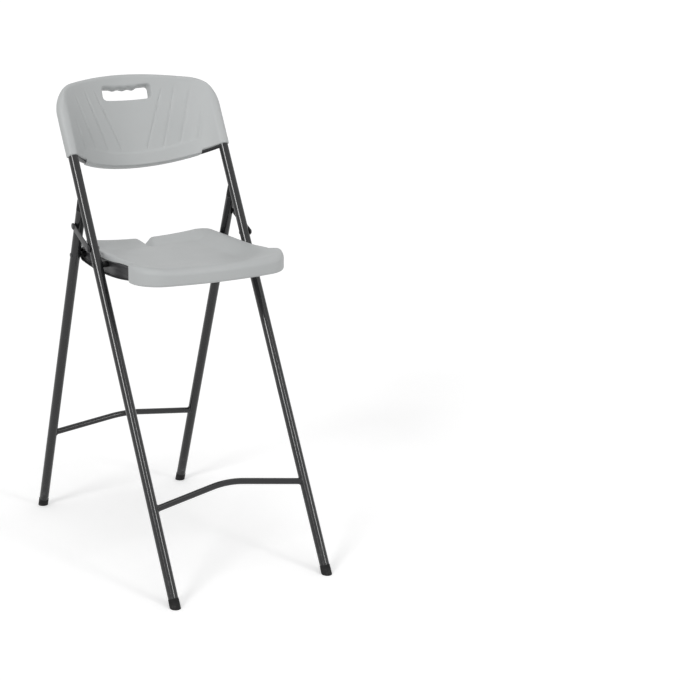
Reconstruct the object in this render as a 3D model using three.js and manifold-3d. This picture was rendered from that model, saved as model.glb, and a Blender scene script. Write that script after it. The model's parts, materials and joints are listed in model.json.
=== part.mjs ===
// Folding bar stool: steel tube frame, blow-moulded seat and backrest.
// Millimetres, +Z up, front towards -Y.
import * as THREE from 'three';
import { mergeVertices } from 'three/addons/utils/BufferGeometryUtils.js';
import Module from 'manifold-3d';

const wasm = await Module();
wasm.setup();

// Stance: from the side, posts that lean back from the front feet cross rear legs that lean forward.
// The crossing is measured along the posts, as are all heights on them.
const STANCE = 830;
const LEG_SPACING = 424;
const POST_LEAN = THREE.MathUtils.degToRad(28);
const CROSSING_ALONG = 1040.3;

// Steel tube of the posts and legs
const TUBE_D = 25;
const TUBE_WALL = 1.5;
const TUBE_SIDES = 24;

// Clearance between still pieces that touch and round pins in holes; overrun of every cut
const GAP = 0.3;
const OVERRUN = 20;

// Fold pivots: the seat's front one along the post, the link's upper one above the seat's rear one
const SEAT_PIVOT_ALONG = 866;
const LINK_RISE = 86;
const FOLDED_LEG_GAP = 1.5;
const PIN_D = 8;
const PIN_SIDES = 12;
const PIN_HEAD_D = 16;
const PIN_HEAD = 2;
const HEAD_FLAT_SHARE = 0.7;
const HEAD_EDGE_SHARE = 0.5;
const FLUSH_HEAD_D = 12;
const FLUSH_HEAD = 1.3;

// Foot caps
const CAP_WALL = 1.4;
const CAP_FLOOR = 5;
const CAP_LENGTH = 27;

// Plugs in the tops of the rear legs, hollowed where they rest on the backs of the posts
const PLUG_CAP = 3;
const PLUG_DEPTH = 18;
const PLUG_REST = 0.7;

// Stretchers: one tube each, straight from the legs to a rounded crank in the middle
const STRETCHER_D = 16;
const STRETCHER_WALL = 1.2;
const STRETCHER_SIDES = 12;
const STRETCHER_BEND = 45;
const BEND_STEPS = 6;
const FRONT_STRETCHER_ALONG = 241;
const FRONT_STRETCHER_RISE = 37;
const REAR_STRETCHER_ALONG = 249.5;
const REAR_STRETCHER_RISE = 31;

// Backrest: the shell is bowed to the rear between the posts, most at its foot, and slips over their tops
const BACK_BOTTOM = 1151;
const BACK_HEIGHT = 233;
const BACK_BESIDE_POST = 17.5;
const BACK_SLOT_BOW = 69.6;
const BACK_LOW_BOW = 105;
const BACK_BOW_INSET = 9;
const BACK_THICKNESS = 27;
const BACK_AHEAD = 1;
const BACK_WALL = 2.6;
const BACK_SOCKET_BLEND = 5;
const BACK_LIP_DROP = 9.5;
const BACK_LIP_SAG = 1.5;
const BACK_LIP_INSET = 47;
const BACK_TOP_RADIUS = 477;
const BACK_CORNER_RADIUS = 89;
const BACK_EDGE_ROUND = 13;
const BACK_COLUMNS = 28;
const BACK_ROWS = 13;
const POST_INSERT = 119;

// Hand-hold slot through the backrest, with finger scallops in its upper edge
const SLOT_WIDTH = 125;
const SLOT_HEIGHT = 28;
const SLOT_BELOW_TOP = 51.5;
const SLOT_CORNER = 11;
const SLOT_RIM = 3;
const SLOT_ARC_STEPS = 4;
const SCALLOP_COUNT = 3;
const SCALLOP_PITCH = 22;
const SCALLOP_DEPTH = 4;
const SCALLOP_STEPS = 6;

// Curved bar welded across the posts, hidden in the shell's lower lip in the middle
const BAR_D = 12;
const BAR_SIDES = 10;
const BAR_STEPS = 16;
const BAR_BELOW_SHELL = 0.7;

// Screws
const SCREW_D = 4.8;
const SCREW_HEAD_D = 9.5;
const SCREW_HEAD = 2.4;
const BACK_SCREWS_UP = [27, 95];
const BACK_SCREW_TIP = 7;
const SEAT_SCREW_HALF_SPACING = 95;
const SEAT_SCREW_REACH = 6;

// Seat, measured from the seat pivot: forward is -y, rearward is +y
const SEAT_FRONT = -259.5;
const SEAT_BEHIND_PIVOT = 45.7;
const SEAT_SIDE_GAP = 9.5;
const SEAT_SHOULDER_STEP = 17;
const SEAT_SHOULDER_GAP = 1.5;
const SEAT_FRONT_BOW = 12;
const SEAT_FRONT_CORNER = 66;
const SEAT_REAR_CORNER = 28;
const SEAT_RIM_TOP = 25.5;
const SEAT_UNDERSIDE = -13.6;
const SEAT_DISH = 22;
const SEAT_RIM_WIDTH = 72;
const SEAT_REAR_RIM_WIDTH = 62;
const SEAT_DISH_FRONT = 190;
const SEAT_ROLL_DEPTH = 32;
const SEAT_ROLL_DROP = 10;
const SEAT_FRONT_CROWN = 3;
const SEAT_EDGE_ROUND = 6;
const SEAT_WALL = 3;
const SEAT_FLANGE = 5;
const SEAT_NOTCH_HALF_WIDTH = 19;
const SEAT_NOTCH_DEPTH = 22;
const SEAT_NOTCH_LENGTH = 58;
const SEAT_REAR_SAG = 9;
const SEAT_REAR_SAG_INSET = 40;
const SEAT_VENT_D = 6;
const SEAT_COLUMNS = 26;
const SEAT_ROWS = 13;

// Pressed steel seat rails: a web with a rim turned outwards all round
const RAIL_FRONT = -140;
const RAIL_REAR_ROUND = 18;
const RAIL_BOTTOM = -12.6;
const RAIL_BELLY = -37;
const RAIL_STEEL = 2;
const RAIL_DEPTH = 8;

// Flat bars across the rails, under the seat shell
const CROSS_BAR_WIDTH = 25;
const CROSS_BAR_STEEL = 3;
const CROSS_BAR_FRONT_INSET = 63;
const CROSS_BAR_REAR_INSET = 46;

// Links: flat straps outside the posts and legs
const LINK_STEEL = 2.5;
const PLATE_ARC_STEPS = 10;
const LINK_LOWER_D = 24;
const LINK_UPPER_D = 17;
const LINK_WASHER = 1.2;
const LINK_WASHER_D = 18;
const LINK_BOLT_HEAD_D = 18;
const LINK_BOLT_HEAD = 4;
const LINK_NUT_D = 13;
const LINK_NUT = 4;
const BUSH_D = 18;

// Sizes that follow from those above
const LEG_LEAN = Math.atan2(
  STANCE - CROSSING_ALONG * Math.sin(POST_LEAN), CROSSING_ALONG * Math.cos(POST_LEAN));
const HALF_SPACING = LEG_SPACING / 2;
const TUBE_R = TUBE_D / 2;
const PIN_R = PIN_D / 2;
const OUTSIDE = HALF_SPACING + TUBE_R;
const INSIDE = HALF_SPACING - TUBE_R;
const SEAT_HALF_WIDTH = INSIDE - SEAT_SIDE_GAP;
const SEAT_FRONT_HALF_WIDTH = SEAT_HALF_WIDTH + SEAT_SHOULDER_STEP;
const SEAT_SHOULDER = RAIL_FRONT - SEAT_SHOULDER_GAP;
const RAIL_WEB = SEAT_HALF_WIDTH - RAIL_DEPTH;
const RAIL_TOP = SEAT_RIM_TOP - SEAT_FLANGE - GAP;
const LINK_INSIDE = OUTSIDE + GAP + LINK_WASHER + GAP;
const LINK_OUTSIDE = LINK_INSIDE + LINK_STEEL;
const BACK_HALF_WIDTH = HALF_SPACING + BACK_BESIDE_POST;
const BACK_LIP_HALF_WIDTH = HALF_SPACING - BACK_LIP_INSET;
const BACK_LIP_BOTTOM = BACK_BOTTOM - BACK_LIP_DROP;
const BACK_TOP = BACK_BOTTOM + BACK_HEIGHT;
const BACK_SOCKET_HALF = TUBE_R + GAP + BACK_WALL;
const SLOT_CENTRE = BACK_TOP - SLOT_BELOW_TOP;
const BAR_ALONG = BACK_BOTTOM - BAR_BELOW_SHELL;
const POST_TOP = BACK_BOTTOM + POST_INSERT;
const BACK_SCREW_ALONG = BACK_SCREWS_UP.map((up) => BACK_BOTTOM + up);
const CAP_R = TUBE_R + GAP + CAP_WALL;
const ORIGIN_Y = (STANCE + CAP_R / Math.cos(LEG_LEAN) - CAP_R / Math.cos(POST_LEAN)) / 2;

// Side view vectors: u runs up the post, v points behind it
const U = new THREE.Vector2(Math.sin(POST_LEAN), Math.cos(POST_LEAN));
const V = new THREE.Vector2(Math.cos(POST_LEAN), -Math.sin(POST_LEAN));
const postPoint = (along) => U.clone().multiplyScalar(along);
function legPoint(along) {
  return new THREE.Vector2(STANCE - along * Math.sin(LEG_LEAN), along * Math.cos(LEG_LEAN));
}
const behindPost = (p) => p.dot(V);
const alongPost = (p) => p.dot(U);

// The seat's two pivots lie at one height
const REAR_PIVOT_ALONG = SEAT_PIVOT_ALONG * Math.cos(POST_LEAN) / Math.cos(LEG_LEAN);
const LINK_PIVOT_ALONG = REAR_PIVOT_ALONG + LINK_RISE;
const SEAT_PIVOT = postPoint(SEAT_PIVOT_ALONG);
const REAR_PIVOT = legPoint(REAR_PIVOT_ALONG);
const LINK_TOP = legPoint(LINK_PIVOT_ALONG);
const PIVOT_SPAN = REAR_PIVOT.x - SEAT_PIVOT.x;
const SEAT_REAR = PIVOT_SPAN + SEAT_BEHIND_PIVOT;
const CROSS_BAR_FRONT = RAIL_FRONT + CROSS_BAR_FRONT_INSET;
const CROSS_BAR_REAR = PIVOT_SPAN - CROSS_BAR_REAR_INSET;

// The link's lower pivot: the strap spans its pivots both open and with the leg folded behind the post
function linkPivotAlong() {
  const behind = TUBE_D + FOLDED_LEG_GAP;
  const reach = REAR_PIVOT.distanceTo(SEAT_PIVOT);
  const foldedRear = SEAT_PIVOT_ALONG - Math.sqrt(reach * reach - behind * behind);
  const foldedTop = foldedRear + LINK_PIVOT_ALONG - REAR_PIVOT_ALONG;
  const openBehind = behindPost(LINK_TOP);
  const openAlong = alongPost(LINK_TOP);
  const squares = openBehind ** 2 + openAlong ** 2 - behind ** 2 - foldedTop ** 2;
  return squares / (2 * (openAlong - foldedTop));
}
const LINK_BOTTOM_ALONG = linkPivotAlong();
const LINK_BOTTOM = postPoint(LINK_BOTTOM_ALONG);

// The rear leg stops where the front corner of its plug meets the back of the post
function legTopAlong() {
  const crossing = POST_LEAN + LEG_LEAN;
  const behind = TUBE_R + PLUG_REST + TUBE_R * Math.cos(crossing);
  return (behindPost(legPoint(0)) - behind) / Math.sin(crossing);
}
const LEG_TOP = legTopAlong();

const SIDES = [-1, 1];

// Finishes
const steel = { color: 0x3a3b3d, roughness: 0.42, metalness: 0.55 };
const pinSteel = { color: 0x2c2d2f, roughness: 0.35, metalness: 0.8 };
const zinc = { color: 0x8d9093, roughness: 0.35, metalness: 0.9 };
const plastic = { color: 0xb2b6b8, roughness: 0.5, metalness: 0 };
const black = { color: 0x18191a, roughness: 0.7, metalness: 0 };

// Closed meshes into solids and back
function toSolid(geometry) {
  const bare = geometry.clone();
  bare.deleteAttribute('normal');
  bare.deleteAttribute('uv');
  const merged = mergeVertices(bare);
  const index = merged.index.array;
  const kept = [];
  for (let i = 0; i < index.length; i += 3) {
    const [a, b, c] = [index[i], index[i + 1], index[i + 2]];
    if (a !== b && b !== c && a !== c) kept.push(a, b, c);
  }
  const vertProperties = new Float32Array(merged.attributes.position.array);
  const triVerts = new Uint32Array(kept);
  return new wasm.Manifold(new wasm.Mesh({ numProp: 3, vertProperties, triVerts }));
}

function toGeometry(solid) {
  const mesh = solid.getMesh();
  const geometry = new THREE.BufferGeometry();
  const position = new Float32Array(mesh.vertProperties);
  geometry.setAttribute('position', new THREE.BufferAttribute(position, 3));
  geometry.setIndex(new THREE.BufferAttribute(new Uint32Array(mesh.triVerts), 1));
  geometry.computeVertexNormals();
  return geometry;
}

const cut = (body, ...tools) => tools.reduce((left, tool) => left.subtract(tool), body);

function addPiece(parent, name, solid, finish) {
  const mesh = new THREE.Mesh(toGeometry(solid), new THREE.MeshStandardMaterial(finish));
  mesh.name = name;
  parent.add(mesh);
}

// Distances out from the middle become a stretch of x on one side, its lower end first
const stretchOn = (side, a, b) => [side * a, side * b].sort((p, q) => p - q);

// Cylinder along x, y or z between two places on that axis; at holds its other two coordinates
function rod(axis, radius, from, to, at, sides = PIN_SIDES) {
  const geometry = new THREE.CylinderGeometry(radius, radius, to - from, sides);
  if (axis === 'x') geometry.rotateZ(-Math.PI / 2);
  if (axis === 'z') geometry.rotateX(Math.PI / 2);
  const middle = (from + to) / 2;
  const places = { x: [middle, ...at], y: [at[0], middle, at[1]], z: [...at, middle] };
  return toSolid(geometry.translate(...places[axis]));
}

function box([x0, x1], [y0, y1], [z0, z1]) {
  const geometry = new THREE.BoxGeometry(x1 - x0, y1 - y0, z1 - z0);
  return toSolid(geometry.translate((x0 + x1) / 2, (y0 + y1) / 2, (z0 + z1) / 2));
}

// Turned piece along z at x: its outline of [radius, z] pairs starts and ends on the axis or closes
function turnedUp(outline, x, sides = TUBE_SIDES) {
  const geometry = new THREE.LatheGeometry(outline.map(([r, z]) => new THREE.Vector2(r, z)), sides);
  geometry.rotateX(Math.PI / 2);
  return toSolid(geometry.translate(x, 0, 0));
}

// Turned piece along x, for either side: the outline holds [distance from the middle, radius] pairs
function turnedOut(side, outline, at) {
  const points = [...outline, outline[0]].map(([far, r]) => new THREE.Vector2(r, far));
  const geometry = new THREE.LatheGeometry(points, PIN_SIDES);
  geometry.rotateZ(-side * Math.PI / 2);
  return toSolid(geometry.translate(0, ...at));
}

// Straight open tube along z
function pipe(radius, wall, from, to, x) {
  const bore = radius - wall;
  return turnedUp([[bore, from], [radius, from], [radius, to], [bore, to], [bore, from]], x);
}

// Skin over rings of points that all have the same count; an end ring shrinks to a line or a point
function skin(rings) {
  const count = rings[0].length;
  const position = rings.flat().flatMap((p) => [p.x, p.y, p.z]);
  const index = [];
  for (let i = 0; i + 1 < rings.length; i += 1) {
    for (let j = 0; j < count; j += 1) {
      const a = i * count + j;
      const b = i * count + ((j + 1) % count);
      index.push(a, a + count, b, b, a + count, b + count);
    }
  }
  const geometry = new THREE.BufferGeometry();
  geometry.setAttribute('position', new THREE.Float32BufferAttribute(position, 3));
  geometry.setIndex(index);
  return toSolid(geometry);
}

// Round tube, or rod where there is no wall, along points in a plane that binormal is square to
function tubeAlong(points, binormal, radius, wall, sides) {
  const last = points.length - 1;
  const ringAt = (i, r) => {
    const tangent = points[Math.min(i + 1, last)].clone().sub(points[Math.max(i - 1, 0)]).normalize();
    const normal = tangent.cross(binormal);
    return Array.from({ length: sides }, (_, k) => {
      const turn = (2 * Math.PI * (k + 0.5)) / sides;
      const arm = normal.clone().multiplyScalar(r * Math.cos(turn));
      return arm.addScaledVector(binormal, r * Math.sin(turn)).add(points[i]);
    });
  };
  const outer = points.map((_, i) => ringAt(i, radius));
  const bore = points.map((_, i) => ringAt(last - i, radius - wall));
  const ends = [ringAt(last, 0), ringAt(0, 0)];
  return skin([...outer, ...(wall ? bore : ends), outer[0]]);
}

// Side-view outline, in y and z, given a thickness from near to far on one side
function sidePlate(shape, side, near, far) {
  const options = { depth: far - near, bevelEnabled: false, curveSegments: PLATE_ARC_STEPS };
  const geometry = new THREE.ExtrudeGeometry(shape, options);
  geometry.rotateX(Math.PI / 2);
  geometry.rotateZ(Math.PI / 2);
  return toSolid(geometry.translate(side > 0 ? near : -far, 0, 0));
}

// Cylinders, a gap clear of both leaning tubes, that hollow the ends of what is welded across them
function copes(along) {
  const reach = [along - TUBE_D, along + TUBE_D];
  return SIDES.map((side) => rod('z', TUBE_R + GAP, ...reach, [side * HALF_SPACING, 0], TUBE_SIDES));
}

// Posts and rear legs: open tubes with holes for their pins
function legTube(side, from, to, holes) {
  const x = side * HALF_SPACING;
  const drills = holes.map((along) => rod('x', PIN_R + GAP, x - TUBE_D, x + TUBE_D, [0, along]));
  return cut(pipe(TUBE_R, TUBE_WALL, from, to, x), ...drills);
}

// A tube's lower end, which stays the thickness of the cap's floor above the ground
const tubeEnd = (lean) => (CAP_FLOOR + TUBE_R * Math.sin(lean)) / Math.cos(lean);

function post(side) {
  const tube = legTube(side, tubeEnd(POST_LEAN), POST_TOP, [SEAT_PIVOT_ALONG, LINK_BOTTOM_ALONG]);
  const holes = BACK_SCREW_ALONG.map(
    (along) => rod('y', SCREW_D / 2 + GAP, 0, TUBE_D, [side * HALF_SPACING, along]));
  return cut(tube, ...holes);
}

const rearLeg = (side) => legTube(side, tubeEnd(LEG_LEAN), LEG_TOP - PLUG_CAP - GAP, [REAR_PIVOT_ALONG]);

// Foot cap: a cup round the tube's end, cut flat at the floor; turn is the tube's own turn about x
function footCap(side, lean, turn) {
  const x = side * HALF_SPACING;
  const bore = TUBE_R + GAP;
  const seat = tubeEnd(lean) - GAP;
  const outline = [
    [0, -OVERRUN], [CAP_R, -OVERRUN], [CAP_R, CAP_LENGTH], [bore, CAP_LENGTH], [bore, seat], [0, seat],
  ];
  const reach = CAP_R + OVERRUN;
  const below = box([x - reach, x + reach], [-reach, reach], [-reach - OVERRUN, 0]);
  return cut(turnedUp(outline, x), below.rotate([THREE.MathUtils.radToDeg(turn), 0, 0]));
}

// Plug in a rear leg's top, hollowed to fit the back of the post
function legTopPlug(side) {
  const at = [side * HALF_SPACING, 0];
  const stemEnds = [LEG_TOP - PLUG_DEPTH, LEG_TOP - PLUG_CAP / 2];
  const stem = rod('z', TUBE_R - TUBE_WALL - GAP, ...stemEnds, at, TUBE_SIDES);
  const cap = rod('z', TUBE_R, LEG_TOP - PLUG_CAP, LEG_TOP + TUBE_D, at, TUBE_SIDES);
  const postHere = rod('z', TUBE_R + PLUG_REST, 0, POST_TOP, at, TUBE_SIDES)
    .rotate([-THREE.MathUtils.radToDeg(POST_LEAN), 0, 0])
    .translate([0, -STANCE, 0])
    .rotate([-THREE.MathUtils.radToDeg(LEG_LEAN), 0, 0]);
  return stem.add(cap).subtract(postHere);
}

// Stretcher: straight runs and a rounded crank, its ends coped to the tubes
function stretcher(along, rise) {
  const end = HALF_SPACING - TUBE_R / 2;
  const slope = rise / HALF_SPACING;
  const at = (x) => new THREE.Vector3(x, 0, along + rise - Math.abs(x) * slope);
  const bend = new THREE.QuadraticBezierCurve3(at(-STRETCHER_BEND), at(0), at(STRETCHER_BEND));
  const points = [at(-end), ...bend.getPoints(BEND_STEPS), at(end)];
  const across = new THREE.Vector3(0, 1, 0);
  const tube = tubeAlong(points, across, STRETCHER_D / 2, STRETCHER_WALL, STRETCHER_SIDES);
  return cut(tube, ...copes(along));
}

// Pin along x with a head at each end; near and far are the inner faces of the heads
function pin(side, near, far, nearHead, farHead, at) {
  const flat = (head) => head.radius * HEAD_FLAT_SHARE;
  const edge = (head) => head.height * HEAD_EDGE_SHARE;
  return turnedOut(side, [
    [near - nearHead.height, 0], [near - nearHead.height, flat(nearHead)],
    [near - edge(nearHead), nearHead.radius], [near, nearHead.radius], [near, PIN_R],
    [far, PIN_R], [far, farHead.radius], [far + edge(farHead), farHead.radius],
    [far + farHead.height, flat(farHead)], [far + farHead.height, 0],
  ], at);
}

const ROUND_HEAD = { radius: PIN_HEAD_D / 2, height: PIN_HEAD };
const FLUSH_RIVET_HEAD = { radius: FLUSH_HEAD_D / 2, height: FLUSH_HEAD };
const BOLT_HEAD = { radius: LINK_BOLT_HEAD_D / 2, height: LINK_BOLT_HEAD };
const NUT = { radius: LINK_NUT_D / 2, height: LINK_NUT };
const PLAIN_END = { radius: PIN_R, height: GAP };

// Rivet through a seat rail, its bush and a leaning tube
function railRivet(side, at) {
  return pin(side, RAIL_WEB - GAP, OUTSIDE + GAP, ROUND_HEAD, FLUSH_RIVET_HEAD, at);
}

function linkBolt(side) {
  return pin(side, INSIDE - GAP, LINK_OUTSIDE + GAP, NUT, BOLT_HEAD, LINK_BOTTOM.toArray());
}

// The rivet's shank ends just outside the rear leg, where the real one goes on through it
function linkRivet(side) {
  const shankEnd = OUTSIDE + GAP + PLAIN_END.height;
  return pin(side, shankEnd, LINK_OUTSIDE + GAP, PLAIN_END, ROUND_HEAD, LINK_TOP.toArray());
}

// Ring along x round a pin
function ring(side, from, to, diameter, at) {
  const bore = PIN_R + GAP;
  return turnedOut(side, [[from, bore], [from, diameter / 2], [to, diameter / 2], [to, bore]], at);
}

function pivotBush(side, at) {
  return ring(side, RAIL_WEB + RAIL_STEEL + GAP, INSIDE - GAP, BUSH_D, at);
}

function linkWasher(side) {
  return ring(side, OUTSIDE + GAP, LINK_INSIDE - GAP, LINK_WASHER_D, LINK_BOTTOM.toArray());
}

// Link strap: tapers between two round ends, with a hole at each
function linkStrap(side) {
  const lowR = LINK_LOWER_D / 2;
  const topR = LINK_UPPER_D / 2;
  const run = LINK_TOP.clone().sub(LINK_BOTTOM);
  const heading = Math.atan2(run.y, run.x);
  const turn = Math.acos((topR - lowR) / run.length());
  const shape = new THREE.Shape();
  shape.absarc(LINK_BOTTOM.x, LINK_BOTTOM.y, lowR, heading + turn, heading - turn + 2 * Math.PI);
  shape.absarc(LINK_TOP.x, LINK_TOP.y, topR, heading - turn, heading + turn);
  const drills = [LINK_BOTTOM, LINK_TOP].map(
    (p) => rod('x', PIN_R + GAP, ...stretchOn(side, OUTSIDE, LINK_OUTSIDE + OVERRUN), p.toArray()));
  return cut(sidePlate(shape, side, LINK_INSIDE, LINK_OUTSIDE), ...drills);
}

// Screw along y or z: its head sits at seat, its plain shank reaches on towards the tip
function screw(axis, seat, tip, at) {
  const top = seat + SCREW_HEAD * Math.sign(seat - tip);
  const ends = (a, b) => [a, b].sort((p, q) => p - q);
  const head = rod(axis, SCREW_HEAD_D / 2, ...ends(top, seat), at);
  return head.add(rod(axis, SCREW_D / 2, ...ends(top, tip), at));
}

// Bow of the backrest to the rear of the posts: an arc across its width, flatter further up
function bow(x, along) {
  const lower = (SLOT_CENTRE - along) / (SLOT_CENTRE - BACK_BOTTOM);
  const deep = BACK_SLOT_BOW + (BACK_LOW_BOW - BACK_SLOT_BOW) * lower;
  const halfSpan = HALF_SPACING - BACK_BOW_INSET;
  const radius = (halfSpan ** 2 + deep ** 2) / (2 * deep);
  const within = Math.min(Math.abs(x), HALF_SPACING);
  return deep - radius + Math.sqrt(radius ** 2 - within ** 2);
}

// Front and rear faces of the shell, which follow the bow and swell round the posts
const softMax = (a, b, blend) => (a + b + Math.sqrt((a - b) ** 2 + blend ** 2)) / 2;

function backFront(x, along, inset) {
  const face = bow(x, along) - BACK_THICKNESS / 2 - BACK_AHEAD;
  return softMax(face, -BACK_SOCKET_HALF, BACK_SOCKET_BLEND) + inset;
}

function backRear(x, along, inset) {
  const face = bow(x, along) + BACK_THICKNESS / 2 - BACK_AHEAD;
  return softMax(face, BACK_SOCKET_HALF, BACK_SOCKET_BLEND) - inset;
}

// Top edge: one wide arc that runs into a corner arc at each side
function backTop(x) {
  const inner = BACK_TOP_RADIUS - BACK_CORNER_RADIUS;
  const cornerX = BACK_HALF_WIDTH - BACK_CORNER_RADIUS;
  const centre = BACK_TOP - BACK_TOP_RADIUS;
  const far = Math.abs(x);
  const meet = (cornerX * BACK_TOP_RADIUS) / inner;
  if (far <= meet) return centre + Math.sqrt(BACK_TOP_RADIUS ** 2 - far ** 2);
  const cornerCentre = centre + Math.sqrt(inner ** 2 - cornerX ** 2);
  return cornerCentre + Math.sqrt(Math.max(0, BACK_CORNER_RADIUS ** 2 - (far - cornerX) ** 2));
}

const backLip = (x) => BACK_LIP_BOTTOM + BACK_LIP_SAG * Math.min(1, (x / BACK_LIP_HALF_WIDTH) ** 2);

// Cosine-spaced shares from 0 to 1, closer together near the ends
const spaced = (i, count) => (1 - Math.cos((Math.PI * i) / count)) / 2;

// Depth left at an edge that is rounded: 1 inside, 0 at the edge itself
const roundedShare = (...near) => Math.sqrt(Math.max(0, 1 - near.reduce((sum, n) => sum + n ** 2, 0)));

// The backrest's skin as upright sections; an inset makes the inner one
function backSkin(inset) {
  const halfWidth = BACK_HALF_WIDTH - inset;
  const round = BACK_EDGE_ROUND - inset;
  const section = (i) => {
    const x = halfWidth * (2 * spaced(i, BACK_COLUMNS) - 1);
    const low = backLip(x) + inset;
    const high = backTop((x * BACK_HALF_WIDTH) / halfWidth) - inset;
    const nearSide = Math.max(0, 1 - (halfWidth - Math.abs(x)) / round);
    const front = [];
    const rear = [];
    for (let j = 0; j <= BACK_ROWS; j += 1) {
      const z = low + (high - low) * spaced(j, BACK_ROWS);
      const middle = (backFront(x, z, inset) + backRear(x, z, inset)) / 2;
      const nearEnd = Math.max(0, 1 - Math.min(z - low, high - z) / round);
      const depth = (backRear(x, z, inset) - middle) * roundedShare(nearSide, nearEnd);
      front.push(new THREE.Vector3(x, middle - depth, z));
      if (j > 0 && j < BACK_ROWS) rear.unshift(new THREE.Vector3(x, middle + depth, z));
    }
    return [...front, ...rear];
  };
  return skin(Array.from({ length: BACK_COLUMNS + 1 }, (_, i) => section(i)));
}

// Slot outline, its upper edge waved by the finger scallops
function slotShape(grow) {
  const half = SLOT_WIDTH / 2 + grow;
  const low = SLOT_CENTRE - SLOT_HEIGHT / 2 - grow;
  const high = SLOT_CENTRE + SLOT_HEIGHT / 2 + grow;
  const corner = SLOT_CORNER + grow;
  const shape = new THREE.Shape();
  shape.absarc(half - corner, low + corner, corner, -Math.PI / 2, 0);
  shape.absarc(half - corner, high - corner, corner, 0, Math.PI / 2);
  const steps = SCALLOP_COUNT * SCALLOP_STEPS;
  const span = SCALLOP_COUNT * SCALLOP_PITCH;
  for (let i = 0; i <= steps; i += 1) {
    const ridge = (1 + Math.cos((2 * Math.PI * i) / SCALLOP_STEPS)) / 2;
    shape.lineTo(span / 2 - (span * i) / steps, high - SCALLOP_DEPTH * ridge);
  }
  shape.absarc(corner - half, high - corner, corner, Math.PI / 2, Math.PI);
  shape.absarc(corner - half, low + corner, corner, Math.PI, 1.5 * Math.PI);
  return shape;
}

function slotPrism(grow) {
  const depth = BACK_LOW_BOW + BACK_THICKNESS + OVERRUN;
  const options = { depth, bevelEnabled: false, curveSegments: SLOT_ARC_STEPS };
  const geometry = new THREE.ExtrudeGeometry(slotShape(grow), options);
  geometry.rotateX(Math.PI / 2);
  return toSolid(geometry.translate(0, depth, 0));
}

// Bar that follows the bow from post to post
function bowedBar(radius) {
  const reach = HALF_SPACING - TUBE_R / 2;
  const at = (x) => new THREE.Vector3(x, bow(x, BAR_ALONG), BAR_ALONG);
  const points = Array.from({ length: BAR_STEPS + 1 }, (_, i) => at(reach * (1 - (2 * i) / BAR_STEPS)));
  return tubeAlong(points, new THREE.Vector3(0, 0, 1), radius, 0, BAR_SIDES);
}

const crossBar = () => cut(bowedBar(BAR_D / 2), ...copes(BAR_ALONG));

function backShell() {
  const room = cut(backSkin(BACK_WALL), slotPrism(SLOT_RIM));
  const tools = [room, slotPrism(0), bowedBar(BAR_D / 2 + GAP)];
  const seat = [BACK_SOCKET_HALF, BACK_SOCKET_HALF + OVERRUN];
  for (const side of SIDES) {
    const x = side * HALF_SPACING;
    const beside = stretchOn(side, BACK_LIP_HALF_WIDTH, BACK_HALF_WIDTH + OVERRUN);
    tools.push(box(beside, [-BACK_LOW_BOW, BACK_LOW_BOW], [BACK_LIP_BOTTOM - OVERRUN, BACK_BOTTOM]));
    tools.push(rod('z', TUBE_R + GAP, BACK_BOTTOM - OVERRUN, POST_TOP, [x, 0], TUBE_SIDES));
    for (const along of BACK_SCREW_ALONG) {
      tools.push(rod('y', SCREW_D / 2 + GAP, 0, BACK_SOCKET_HALF + OVERRUN, [x, along]));
      tools.push(rod('y', SCREW_HEAD_D / 2 + GAP, ...seat, [x, along]));
    }
  }
  return cut(backSkin(0), ...tools);
}

const backScrew = (side, along) => screw(
  'y', BACK_SOCKET_HALF + GAP, BACK_SCREW_TIP, [side * HALF_SPACING, along]);

// The seat's front and rear edges in the plan view
function seatFrontEdge(x) {
  const corner = Math.max(0, Math.abs(x) - (SEAT_FRONT_HALF_WIDTH - SEAT_FRONT_CORNER));
  const arc = SEAT_FRONT_CORNER - Math.sqrt(Math.max(0, SEAT_FRONT_CORNER ** 2 - corner ** 2));
  return SEAT_FRONT + SEAT_FRONT_BOW * (x / SEAT_FRONT_HALF_WIDTH) ** 2 + arc;
}

function seatRearEdge(x) {
  const corner = Math.max(0, Math.abs(x) - (SEAT_HALF_WIDTH - SEAT_REAR_CORNER));
  const within = Math.min(SEAT_REAR_CORNER, corner);
  return SEAT_REAR - SEAT_REAR_CORNER + Math.sqrt(SEAT_REAR_CORNER ** 2 - within ** 2);
}

// The seat's upper face: rims at the sides and rear round a dish that fades out towards the rolled front
function smooth(t) {
  const within = Math.min(1, Math.max(0, t));
  return within * within * (3 - 2 * within);
}

function seatTop(x, y) {
  const fromFront = y - seatFrontEdge(x);
  const across = smooth((SEAT_HALF_WIDTH - Math.abs(x)) / SEAT_RIM_WIDTH);
  const behind = smooth((SEAT_REAR - y) / SEAT_REAR_RIM_WIDTH);
  const ahead = smooth(fromFront / SEAT_DISH_FRONT);
  const dish = SEAT_DISH * across * behind * ahead;
  const rolled = SEAT_ROLL_DROP * (1 - roundedShare(Math.max(0, 1 - fromFront / SEAT_ROLL_DEPTH)));
  const sagHalfWidth = SEAT_HALF_WIDTH - SEAT_REAR_SAG_INSET;
  const sag = SEAT_REAR_SAG * Math.max(0, 1 - (x / sagHalfWidth) ** 2) * (1 - behind);
  return SEAT_RIM_TOP + SEAT_FRONT_CROWN * (1 - ahead) - dish - rolled - sag;
}

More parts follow.
